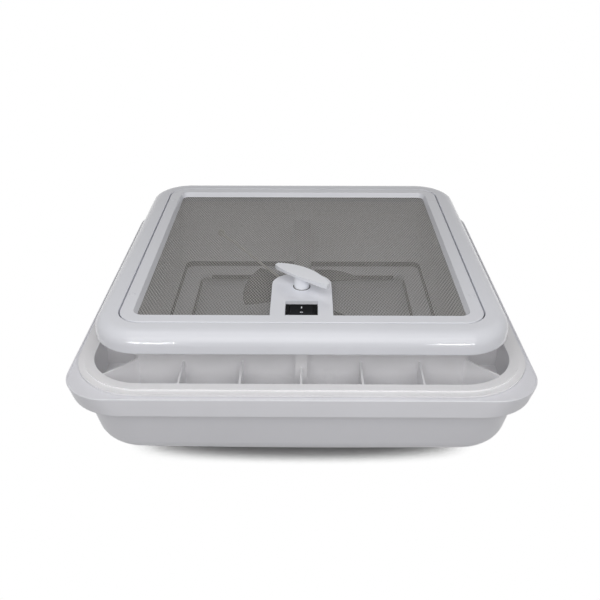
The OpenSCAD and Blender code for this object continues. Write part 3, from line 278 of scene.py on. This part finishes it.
MATERIALS = {slot: moulded_plastic(slot, *look) for slot, look in PLASTICS.items()}
MATERIALS |= {
    "black_rubber": rubber("black_rubber", (0.018, 0.018, 0.018)),
    # The screen's weave shading is painted on: painted highlight on the crowns, painted shade in the dips.
    "screen_mesh": woven_wire("screen_mesh", (0.38, 0.37, 0.355), 1.7, 3.2, shading_contrast=1.0),
    "zinc_steel": plated_metal("zinc_steel", (0.60, 0.61, 0.63), rough=0.34),
    "strap_aluminium": rolled_aluminium("strap_aluminium", (0.46, 0.46, 0.47)),
    "contact_brass": plated_metal("contact_brass", (0.72, 0.52, 0.22), rough=0.3),
}


def dress(obj, slot):
    """Gives a new piece the material of a record slot."""
    obj.data.materials.append(MATERIALS[slot])


# CAD nodes keep their meshes; modifiers ease their edges

SMOOTH_DEG = 32
BEVEL_DEG = 35
FLAT_DEG = 0.6
WELD_WITHIN = 0.002 * MM

# Width of the eased edges in mm, 0 for none
EASED = {
    "roof_frame": 0.5, "screen_frame": 0.5, "lid_rim": 0.5, "handle": 0.4, "switch_body": 0.4,
    "switch_rocker": 0.5, "screw_caps": 0.8, "lid_hinge_leaves": 0.4, "hinge_pins": 0.3,
    "gear_bracket": 0.5, "motor_strap": 0.3, "lift_arm": 0.3, "fan": 0.3, "fan_motor": 0.6,
    "motor_end_cap": 0.4, "lid_inner_frame": 0.5, "lid_seal": 0, "lid_edge_trim": 0.3,
    "screen_spline": 0, "worm": 0, "spindle": 0.2, "lift_track": 0.3, "lead_grommets": 0.4,
    "arm_roller": 0.3, "stem_clip": 0.2,
}

# Nodes whose white differs from that of their slot
OWN_SHADE = {"roof_frame": "frame_white", "handle": "handle_white"}


def edge_group(name, angle_deg):
    """Geometry nodes that drop imported normals and shade smooth up to an angle."""
    group = bpy.data.node_groups.new(name, "GeometryNodeTree")
    group.interface.new_socket("Geometry", in_out="INPUT", socket_type="NodeSocketGeometry")
    group.interface.new_socket("Geometry", in_out="OUTPUT", socket_type="NodeSocketGeometry")
    start = group.nodes.new("NodeGroupInput")
    drop = group.nodes.new("GeometryNodeRemoveAttribute")
    drop.inputs["Name"].default_value = "custom_normal"
    smooth = group.nodes.new("GeometryNodeSetShadeSmooth")
    smooth.domain = "FACE"
    angle = group.nodes.new("GeometryNodeInputMeshEdgeAngle")
    over = group.nodes.new("FunctionNodeCompare")
    over.operation = "GREATER_THAN"
    over.inputs["B"].default_value = math.radians(angle_deg)
    crease = group.nodes.new("GeometryNodeSetShadeSmooth")
    crease.domain = "EDGE"
    crease.inputs["Shade Smooth"].default_value = False
    end = group.nodes.new("NodeGroupOutput")
    for before, after in ((start, drop), (drop, smooth), (smooth, crease), (crease, end)):
        group.links.new(before.outputs[0], after.inputs[0])
    group.links.new(angle.outputs["Unsigned Angle"], over.inputs["A"])
    group.links.new(over.outputs["Result"], crease.inputs["Selection"])
    return group


SMOOTH_GROUP = edge_group("smooth_by_angle", SMOOTH_DEG)


def ease_edges(node, width_mm):
    obj = nodes[node]
    weld = obj.modifiers.new("weld", "WELD")
    weld.merge_threshold = WELD_WITHIN
    flat = obj.modifiers.new("flat", "DECIMATE")
    flat.decimate_type = "DISSOLVE"
    flat.angle_limit = math.radians(FLAT_DEG)
    if width_mm > 0:
        bevel = obj.modifiers.new("bevel", "BEVEL")
        bevel.width = width_mm * MM
        bevel.segments = 2
        bevel.limit_method = "ANGLE"
        bevel.angle_limit = math.radians(BEVEL_DEG)
        bevel.miter_outer = "MITER_ARC"
        bevel.use_clamp_overlap = True
    shade = obj.modifiers.new("shade", "NODES")
    shade.node_group = SMOOTH_GROUP
    level = obj.modifiers.new("level", "WEIGHTED_NORMAL")
    level.weight = 100
    level.keep_sharp = True


def dress_cad_nodes():
    for part in frame["record"]["subparts"]:
        node = nodes[part["node"]]
        node.data.materials.clear()
        node.data.materials.append(MATERIALS[OWN_SHADE.get(part["node"], part["material_slot"])])
    for node, width in EASED.items():
        ease_edges(node, width)


# Dome of the lid

WALL_SLOPE = math.radians(12.7)
CROWN_SLOPE = math.radians(12)
DOME_FILLET = 30 * MM
DOME_CORNER = 65 * MM
CROWN_FLAT = 80 * MM
CORNER_LIFT = 10 * MM
LID_T = 3 * MM
# Half sizes of the flat land inside, on which the inner frame stands
FOOT_OUT = 182.5 * MM
LAND_OUT = 188.5 * MM
LAND_IN = 162.5 * MM
LAND_RAMP = 2 * MM
CORNER_STEPS, SIDE_STEPS = 20, 14
INNER_STEPS, FILLET_STEPS, CROWN_STEPS = 12, 20, 16


def make_dome():
    """The pillow-shaped shell: tapered wall, round fillet and bowed crown, and the same inside."""
    half_slope = math.tan(CROWN_SLOPE) / 2
    edge_base = (
        DOME_HALF
        - math.tan(WALL_SLOPE) * (BAND_Z - DOME_FILLET * (math.cos(CROWN_SLOPE) - math.sin(WALL_SLOPE)))
        - DOME_FILLET * (math.cos(WALL_SLOPE) - math.sin(CROWN_SLOPE))
    )
    bow = half_slope * (edge_base - CROWN_FLAT) / (1 - half_slope * math.tan(WALL_SLOPE))
    edge = edge_base + math.tan(WALL_SLOPE) * bow
    fillet_half = edge - DOME_FILLET * math.sin(CROWN_SLOPE)
    fillet_z = bow + DOME_FILLET * math.cos(CROWN_SLOPE)
    centre = DOME_HALF - DOME_CORNER
    span = math.pi / 2 - CROWN_SLOPE - WALL_SLOPE

    def ring(a, z, lift):
        """A rounded square of half size a, lifted towards its corners."""
        r = a - centre if a >= edge else (edge - centre) * a / edge
        c = a - r
        out = []
        for q in range(4):
            sx, sy = corner_signs(q)
            for i in range(CORNER_STEPS + 1):
                t = math.radians(90 * (q + i / CORNER_STEPS))
                out.append((sx * c + r * math.cos(t), sy * c + r * math.sin(t)))
            for j in range(1, SIDE_STEPS):
                f = (1 - 2 * j / SIDE_STEPS) * c
                out.append([(f, a), (-a, f), (-f, -a), (a, -f)][q])
        return [(x, y, z + lift * (x * y) ** 2 / a**4) for x, y in out]

    def share(a):
        """How far the crown has bowed up at half size a."""
        return 0 if a <= CROWN_FLAT else ((a - CROWN_FLAT) / (edge - CROWN_FLAT)) ** 2

    def fillet(r, s):
        t = WALL_SLOPE + span * s
        return ring(fillet_half + r * math.cos(t), fillet_z - r * math.sin(t), CORNER_LIFT * s * s)

    def crown(a, z):
        return ring(a, z + bow * share(a), CORNER_LIFT * share(a))

    inner_r = DOME_FILLET - LID_T
    inner_half = DOME_HALF - LID_T / math.cos(WALL_SLOPE)
    bowl_half = LAND_IN - LAND_RAMP
    land_z = LID_T + (bow + CORNER_LIFT) * share(FOOT_OUT)
    land_share = (math.asin((fillet_z - land_z) / inner_r) - WALL_SLOPE) / span
    inwards = range(INNER_STEPS, -1, -1)
    rings = [crown(bowl_half + (CROWN_FLAT - bowl_half) * i / INNER_STEPS, LID_T) for i in inwards]
    rings += [ring(LAND_IN, land_z, 0), ring(LAND_OUT, land_z, 0)]
    rings += [fillet(inner_r, land_share * i / INNER_STEPS) for i in inwards]
    rings += [ring(inner_half, BAND_Z, 0), ring(DOME_HALF, BAND_Z, 0)]
    rings += [fillet(DOME_FILLET, i / FILLET_STEPS) for i in range(FILLET_STEPS + 1)]
    rings += [crown(edge + (CROWN_FLAT - edge) * i / CROWN_STEPS, 0) for i in range(1, CROWN_STEPS + 1)]
    n = len(rings[0])
    points = [p for r in rings for p in r]
    faces = []
    for k in range(len(rings) - 1):
        faces += bridge(k * n, (k + 1) * n, n)
    last = len(points) - n
    points += [(0, 0, LID_T), (0, 0, 0)]
    for i in range(n):
        j = (i + 1) % n
        faces.append((j, i, len(points) - 2))
        faces.append((last + i, last + j, len(points) - 1))
    dome = add_mesh("dome_shell", points, faces)
    dress(dome, "body_white")
    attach(dome, "lid")
    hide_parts("lid_dome")


# Garnish with its bullnose

NOSE_R = 14 * MM
NOSE_WALL = 3.5 * MM
FOOT_R = 1.6 * MM
LIP_R = 0.7 * MM
POCKET_PLAY = 1.4 * MM
POCKET_WALL = 3 * MM
LEDGE_T = 4 * MM
LEDGE_IN = 170 * MM


def make_garnish():
    nose_x = GARNISH_HALF - NOSE_R
    nose_z = TOP_Z - NOSE_R
    pocket = high("screen_frame").x + POCKET_PLAY
    pocket_z = low("screen_spline").z
    pocket_out = pocket + POCKET_WALL
    ledge_z = pocket_z - LEDGE_T
    profile = [(pocket, pocket_z)]
    profile += arc(pocket + LIP_R, TOP_Z - LIP_R, LIP_R, 180, 90, steps=4)
    profile += arc(nose_x, nose_z, NOSE_R, 90, 0, steps=28)
    profile += arc(GARNISH_HALF - FOOT_R, GARNISH_Z + FOOT_R, FOOT_R, 0, -90, steps=5)
    profile += [(GARNISH_HALF - NOSE_WALL, GARNISH_Z)]
    profile += arc(nose_x, nose_z, NOSE_R - NOSE_WALL, 0, 90, steps=16)
    profile += [(pocket_out, nose_z + NOSE_R - NOSE_WALL), (pocket_out, ledge_z)]
    profile += [(LEDGE_IN, ledge_z), (LEDGE_IN, pocket_z)]
    garnish = ring_sweep("garnish_trim", profile[::-1], CORNER_CENTRE)
    dress(garnish, "gloss_white")
    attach(garnish, "frame")
    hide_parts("garnish")


# Fly screen

WIRE_PITCH = 1.6 * MM
WIRE_D = 0.42 * MM
TONGUE_HALF = 32 * MM
TONGUE_R = 24 * MM
TONGUE_TOP = -80 * MM
TONGUE_TUCK = 4 * MM


def make_mesh_screen():
    """Woven wires over the window: straight warp and weft that touch, cut to the frame and the console."""
    points, faces = [], []
    mid_z = (MESH_TOP + low("flyscreen_mesh").z) / 2
    half = MESH_HALF
    corner = MESH_HALF - CORNER_CENTRE
    tongue = TONGUE_HALF - TONGUE_TUCK
    tongue_r = TONGUE_R - TONGUE_TUCK
    tongue_top = TONGUE_TOP - TONGUE_TUCK

    def bulge(r, over):
        """Height of a circle of radius r at distance over from its middle."""
        return math.sqrt(max(0.0, r**2 - over**2))

    def reach(u):
        """Half length of a wire at distance u from the middle."""
        return CORNER_CENTRE + bulge(corner, max(0.0, abs(u) - CORNER_CENTRE))

    def tongue_edge(u):
        """Top of the console's cut-out at distance u from its middle line."""
        return tongue_top - tongue_r + bulge(tongue_r, max(0.0, abs(u) - (tongue - tongue_r)))

    def wire(start, end, along_y, z):
        base = len(points)
        r = WIRE_D / 2
        for x, y in (start, end):
            ring = [(0, r), (r, 0), (0, -r), (-r, 0)]
            points.extend((x + s, y, z + t) if along_y else (x, y + s, z + t) for s, t in ring)
        faces.extend(bridge(base, base + 4, 4))
        faces.append((base, base + 3, base + 2, base + 1))
        faces.append((base + 4, base + 5, base + 6, base + 7))

    count = int(half / WIRE_PITCH)
    for k in range(-count, count + 1):
        u = k * WIRE_PITCH
        r = reach(u)
        start = tongue_edge(u) if abs(u) < tongue else -r
        wire((u, start), (u, r), True, mid_z + WIRE_D / 2)
        if u > tongue_top:
            wire((-r, u), (r, u), False, mid_z - WIRE_D / 2)
            continue
        drop = tongue_top - tongue_r - u
        inset = tongue if drop >= 0 else tongue - tongue_r + bulge(tongue_r, drop)
        wire((-r, u), (-inset, u), False, mid_z - WIRE_D / 2)
        wire((inset, u), (r, u), False, mid_z - WIRE_D / 2)
    screen = add_mesh("woven_screen", points, faces, sharp_deg=80)
    dress(screen, "screen_mesh")
    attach(screen, "frame")
    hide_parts("flyscreen_mesh")


# Motor lead, from the gland on the motor to the bush in the rear wall

LEAD_D = 3.2 * MM
LEAD_ENDS_MM = [(-17.3, 0, 107), (-118, 171.7, 95.5)]
LEAD_BEND_MM = [(-23, 0, 107), (-40, 10, 113), (-90, 120, 101), (-118, 165, 95.5)]
LEAD_STEPS = 14


def lead_point(t):
    """A point of the lead between its straight ends."""
    weights = ((1 - t) ** 3, 3 * (1 - t) ** 2 * t, 3 * (1 - t) * t * t, t**3)
    return tuple(sum(w * p[k] for w, p in zip(weights, LEAD_BEND_MM)) for k in range(3))


def make_lead():
    curve = bpy.data.curves.new("motor_lead", "CURVE")
    curve.dimensions = "3D"
    curve.bevel_depth = LEAD_D / 2
    curve.bevel_resolution = 4
    curve.resolution_u = 6
    curve.use_fill_caps = True
    spline = curve.splines.new("NURBS")
    bend = [lead_point(i / LEAD_STEPS) for i in range(LEAD_STEPS + 1)]
    route = [LEAD_ENDS_MM[0]] + bend + [LEAD_ENDS_MM[1]]
    spline.points.add(len(route) - 1)
    for point, place in zip(spline.points, route):
        point.co = [c * MM for c in place] + [1]
    spline.use_endpoint_u = True
    spline.order_u = 3
    lead = bpy.data.objects.new("motor_lead", curve)
    bpy.context.scene.collection.objects.link(lead)
    dress(lead, "lead_sheath")
    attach(lead, "frame")
    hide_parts("fan_lead")


# Switch marks

ROCKER_DIP = 1.1 * MM
PRINT_T = 0.06 * MM
BAR_HALF = (0.5 * MM, 1.5 * MM)
BAR_PLACE = 0.55
MARK_RING_R = (1.5 * MM, 0.8 * MM)
MARK_RING_PLACE = -0.4
MARK_STEPS = 32


def circle(r, steps):
    return [(r * math.cos(math.tau * i / steps), r * math.sin(math.tau * i / steps)) for i in range(steps)]


def make_switch_marks():
    """A plain bar and a plain ring, printed on the two halves of the rocker."""
    bottom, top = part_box("switch_rocker")
    middle_y, half = (bottom.y + top.y) / 2, (top.y - bottom.y) / 2
    points, faces = [], []

    def lay(outline, y):
        """Upper and lower points of an outline on the rocker's face."""
        first = len(points)
        for side in (1, -1):
            for u, v in outline:
                face_z = top.z - ROCKER_DIP * (1 - abs(y + v) / half)
                points.append((u, middle_y + y + v, face_z + side * PRINT_T))
        return first

    bar = lay([(x * BAR_HALF[0], y * BAR_HALF[1]) for x, y in SQUARE], BAR_PLACE * half)
    faces += [(bar, bar + 1, bar + 2, bar + 3), (bar + 7, bar + 6, bar + 5, bar + 4)]
    faces += bridge(bar + 4, bar, 4)
    outer, inner = (lay(circle(r, MARK_STEPS), MARK_RING_PLACE * half) for r in MARK_RING_R)
    under = MARK_STEPS
    faces += bridge(outer, inner, MARK_STEPS)
    faces += bridge(inner + under, outer + under, MARK_STEPS)
    faces += bridge(outer + under, outer, MARK_STEPS)
    faces += bridge(inner, inner + under, MARK_STEPS)
    marks = add_mesh("switch_marks", points, faces)
    dress(marks, "gloss_white")
    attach(marks, "rocker")


# Dark ring round the handle's stem: painted shadow of the gap between the stem and its hole

SHADOW_RING_IN = 8.4 * MM
SHADOW_RING_OUT = 9.3 * MM
SHADOW_RING_T = 0.12 * MM
SHADOW_RING_PLAY = 0.02 * MM
SHADOW_RING_STEPS = 64


def make_stem_shadow_ring():
    """Lies on the console, with play round the stem; its black is painted shadow of the gap at the hole."""
    bottom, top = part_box("spindle")
    middle_x, middle_y = (bottom.x + top.x) / 2, (bottom.y + top.y) / 2
    seat = high("screen_frame").z + SHADOW_RING_PLAY
    section = [(SHADOW_RING_IN, seat), (SHADOW_RING_OUT, seat), (SHADOW_RING_OUT, seat + SHADOW_RING_T), (SHADOW_RING_IN, seat + SHADOW_RING_T)]
    points, faces = [], []
    for s, (u, v) in enumerate(circle(1, SHADOW_RING_STEPS)):
        points += [(middle_x + r * u, middle_y + r * v, z) for r, z in section]
        faces += bridge((s + 1) % SHADOW_RING_STEPS * 4, s * 4, 4)
    shadow_ring = add_mesh("stem_shadow_ring", points, faces)
    # Black: painted shadow round the stem.
    dress(shadow_ring, "black_rubber")
    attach(shadow_ring, "frame")


# Cross-head screws, one at each place of the frame's plain ones

SCREW_NODES = {
    "lid_hinge_screws": "lid", "track_screws": "lid", "garnish_screws": "frame", "screen_screws": "frame",
    "bracket_screws": "frame", "strap_screws": "frame", "motor_screws": "frame",
}
SHANK_R = 1.6 * MM
SHANK_CHAMFER = 0.4 * MM
SHANK_TIP = 0.7
# Shares of the head's radius and height
CROSS_REACH, CROSS_HALF, CROSS_DEPTH = 0.56, 0.15, 0.62
HEAD_ROUND, HEAD_STRAIGHT = 0.38, 0.5
HEAD_RIM = 0.97
# Taper of the recess towards its floor, and depth of its middle
CROSS_TAPER, CROSS_TIP = 0.7, 1.15
# Turns of the heads in radians, so that no two recesses line up
FIRST_TURN, NEXT_TURN = 0.6, 1.9
SAME_PLACE = 0.001 * MM


def solids_of(node):
    """Vertex places of each separate solid of a CAD node."""
    mesh = nodes[node].data
    places = [nodes[node].matrix_world @ v.co for v in mesh.vertices]
    keys = [tuple(round(c / SAME_PLACE) for c in p) for p in places]
    parent = {k: k for k in keys}

    def root(k):
        while parent[k] != k:
            parent[k] = parent[parent[k]]
            k = parent[k]
        return k

    for edge in mesh.edges:
        parent[root(keys[edge.vertices[0]])] = root(keys[edge.vertices[1]])
    groups = {}
    for key, place in zip(keys, places):
        groups.setdefault(root(key), []).append(place)
    return list(groups.values())


def screw_axis(places):
    """Seat of the head, direction towards it, length of the shank and radius and height of the head."""
    lows = [min(p[k] for p in places) for k in range(3)]
    highs = [max(p[k] for p in places) for k in range(3)]
    sizes = [h - l for l, h in zip(lows, highs)]
    axis = max(range(3), key=lambda k: min(abs(sizes[k] - sizes[j]) for j in range(3) if j != k))
    middle = Vector([(l + h) / 2 for l, h in zip(lows, highs)])
    across = [k for k in range(3) if k != axis]
    head_r = sizes[across[0]] / 2
    rim = [p[axis] for p in places if math.hypot(*(p[k] - middle[k] for k in across)) > head_r * HEAD_RIM]
    sign = 1 if sum(rim) / len(rim) > middle[axis] else -1
    seat = min(rim) if sign > 0 else max(rim)
    direction = Vector((0, 0, 0))
    direction[axis] = sign
    middle[axis] = seat
    far = highs[axis] if sign > 0 else lows[axis]
    return middle, direction, sizes[axis] - abs(far - seat), head_r, abs(far - seat)


def cross_outline(arm, half):
    """Outline of a cross recess, each side split in three."""
    quarter = [(arm, -half), (arm, half), (half, half)]
    corners = []
    for _ in range(4):
        corners += quarter
        quarter = [(-y, x) for x, y in quarter]
    outline = []
    for p, q in zip(corners, corners[1:] + corners[:1]):
        outline += [(p[0] + (q[0] - p[0]) * k / 3, p[1] + (q[1] - p[1]) * k / 3) for k in range(3)]
    return outline


def screw_shape(length, head_r, head_h):
    """Points and faces of a pan-head screw along +Z with a cross recess."""
    cross = cross_outline(head_r * CROSS_REACH, head_r * CROSS_HALF)
    depth = head_h * CROSS_DEPTH
    n = len(cross)
    angles = [math.atan2(y, x) for x, y in cross]
    edge_r, edge_z = head_r * HEAD_ROUND, head_h * HEAD_STRAIGHT
    crown = arc(head_r - edge_r, 0, edge_r, 0, 90, steps=5)
    profile = [(SHANK_R * SHANK_TIP, -length), (SHANK_R, -length + SHANK_CHAMFER), (SHANK_R, 0), (head_r, 0)]
    profile += [(r, edge_z + z * (head_h - edge_z) / edge_r) for r, z in crown]
    points = [(0, 0, -length)]
    points += [(r * math.cos(a), r * math.sin(a), z) for r, z in profile for a in angles]
    points += [(x, y, head_h) for x, y in cross]
    points += [(x * CROSS_TAPER, y * CROSS_TAPER, head_h - depth) for x, y in cross]
    points.append((0, 0, head_h - depth * CROSS_TIP))
    faces = [(0, 1 + (i + 1) % n, 1 + i) for i in range(n)]
    for k in range(len(profile) + 1):
        faces += bridge(1 + k * n, 1 + (k + 1) * n, n)
    last = 1 + (len(profile) + 1) * n
    faces += [(last + i, last + (i + 1) % n, len(points) - 1) for i in range(n)]
    return points, faces


def make_screws():
    for node, body in SCREW_NODES.items():
        points, faces = [], []
        for count, places in enumerate(solids_of(node)):
            seat, direction, length, head_r, head_h = screw_axis(places)
            turn = direction.to_track_quat("Z", "Y")
            shape, sides = screw_shape(length, head_r, head_h)
            spin = FIRST_TURN + NEXT_TURN * count
            c, s = math.cos(spin), math.sin(spin)
            base = len(points)
            points += [seat + turn @ Vector((x * c - y * s, x * s + y * c, z)) for x, y, z in shape]
            faces += [tuple(base + i for i in f) for f in sides]
        screws = add_mesh(node + "_cross", points, faces, sharp_deg=40)
        dress(screws, "zinc_steel")
        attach(screws, body)
        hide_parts(node)


# Stage: floor, light and camera

FLOOR_HALF = 6.0
FLOOR_DROP = 0.2 * MM
FLOOR_GREY = (0.42, 0.42, 0.42, 1)
SHADOW_REACH = 0.022
# Open share of the sky at which the floor's shadow is full, and at which it ends
SHADOW_FULL, SHADOW_END = 0.45, 0.70
SKY_TINT = (1.0, 0.985, 0.97, 1)
SKY_STRENGTH = 0.15

# Name, place, target, width and height, power, whether a gloss shows it, whether it lights matt surfaces
LAMPS = (
    ("front_box", (0.0, -1.1, 0.82), (0, -0.15, 0.1), (1.6, 0.8), 7.8, True, True),
    ("near_top", (-0.03, -0.32, 0.64), (0, -0.2, 0.12), (0.8, 0.4), 0.9, True, True),
    ("back_fill", (0.0, 1.6, 0.35), (0, 0, 0.1), (1.6, 0.5), 5.0, False, True),
    ("left_fill", (-1.6, 0.1, 0.35), (0, 0, 0.1), (1.2, 0.5), 1.8, False, True),
    ("right_fill", (1.6, 0.1, 0.35), (0, 0, 0.1), (1.2, 0.5), 1.8, False, True),
    ("strip_left", (-0.468, -1.1, 0.25), (-0.15, -0.2, 0.15), (0.332, 0.05), 3.7, True, False),
    ("strip_right", (0.468, -1.1, 0.25), (0.15, -0.2, 0.15), (0.311, 0.05), 3.5, True, False),
)

CAMERA_PLACE_MM = (3.4, -803.7, 528.2)
CAMERA_TILT_DEG, CAMERA_PAN_DEG = 60.78, 0.44
CAMERA_LENS, CAMERA_SENSOR = 43.89, 36


def seen_share(tree, *others):
    """1 for rays that show the background: from the camera, in a gloss, through glass, and for others."""
    path = tree.nodes.new("ShaderNodeLightPath")
    share = path.outputs["Is Camera Ray"]
    for ray in ("Is Glossy Ray", "Is Transmission Ray") + others:
        either = math_node(tree, "MAXIMUM")
        tree.links.new(share, either.inputs[0])
        tree.links.new(path.outputs[ray], either.inputs[1])
        share = either.outputs[0]
    return share


def mix_shaders(tree, share, first, second, out):
    """Links a mix of two shaders to an output."""
    mix = tree.nodes.new("ShaderNodeMixShader")
    tree.links.new(share, mix.inputs["Fac"])
    tree.links.new(first.outputs[0], mix.inputs[1])
    tree.links.new(second.outputs[0], mix.inputs[2])
    tree.links.new(mix.outputs[0], out.inputs["Surface"])


def make_floor():
    """Plain floor that shows the white background except in the contact shadow close round the lid.

    It lets lamp light through, so that an opened lid, which swings below it, stays lit and in sight.
    """
    floor = add_mesh("floor", [(x * FLOOR_HALF, y * FLOOR_HALF, 0) for x, y in SQUARE], [(0, 1, 2, 3)])
    floor.location.z = -FLOOR_DROP
    material = bpy.data.materials.new("floor_white")
    material.use_nodes = True
    tree = material.node_tree
    tree.nodes.clear()
    shadow = tree.nodes.new("ShaderNodeBsdfDiffuse")
    shadow.inputs["Color"].default_value = FLOOR_GREY
    clear = tree.nodes.new("ShaderNodeBsdfTransparent")
    close = tree.nodes.new("ShaderNodeAmbientOcclusion")
    close.inputs["Distance"].default_value = SHADOW_REACH
    close.samples = 12
    lift = tree.nodes.new("ShaderNodeMapRange")
    lift.inputs["From Min"].default_value = SHADOW_FULL
    lift.inputs["From Max"].default_value = SHADOW_END
    share = math_node(tree, "MULTIPLY")
    tree.links.new(close.outputs["AO"], lift.inputs["Value"])
    tree.links.new(seen_share(tree, "Is Shadow Ray"), share.inputs[0])
    tree.links.new(lift.outputs["Result"], share.inputs[1])
    mix_shaders(tree, share.outputs[0], shadow, clear, tree.nodes.new("ShaderNodeOutputMaterial"))
    floor.data.materials.append(material)


def make_world():
    world = bpy.data.worlds.new("studio")
    bpy.context.scene.world = world
    world.use_nodes = True
    tree = world.node_tree
    tree.nodes.clear()
    sky = tree.nodes.new("ShaderNodeBackground")
    sky.inputs["Color"].default_value = SKY_TINT
    sky.inputs["Strength"].default_value = SKY_STRENGTH
    white = tree.nodes.new("ShaderNodeBackground")
    white.inputs["Color"].default_value = (1, 1, 1, 1)
    mix_shaders(tree, seen_share(tree), sky, white, tree.nodes.new("ShaderNodeOutputWorld"))


def make_lights():
    for name, place, target, size, power, in_gloss, on_matt in LAMPS:
        light = bpy.data.lights.new(name, "AREA")
        light.shape = "RECTANGLE"
        light.size, light.size_y = size
        light.energy = power
        obj = bpy.data.objects.new(name, light)
        bpy.context.scene.collection.objects.link(obj)
        obj.location = place
        obj.rotation_euler = (Vector(target) - Vector(place)).to_track_quat("-Z", "Y").to_euler()
        obj.visible_glossy = in_gloss
        obj.visible_diffuse = on_matt


def make_camera():
    """Pinhole camera fitted to the photograph's edges."""
    camera = bpy.data.cameras.new("camera")
    camera.sensor_width = CAMERA_SENSOR
    camera.lens = CAMERA_LENS
    obj = bpy.data.objects.new("camera", camera)
    bpy.context.scene.collection.objects.link(obj)
    obj.location = [c * MM for c in CAMERA_PLACE_MM]
    obj.rotation_euler = (math.radians(CAMERA_TILT_DEG), 0, math.radians(CAMERA_PAN_DEG))
    bpy.context.scene.camera = obj


bpy.context.scene.view_settings.view_transform = "Standard"
make_camera()
make_lead()
make_world()
make_floor()
make_lights()
dress_cad_nodes()
make_dome()
make_garnish()
make_mesh_screen()
make_screws()
make_switch_marks()
make_stem_shadow_ring()
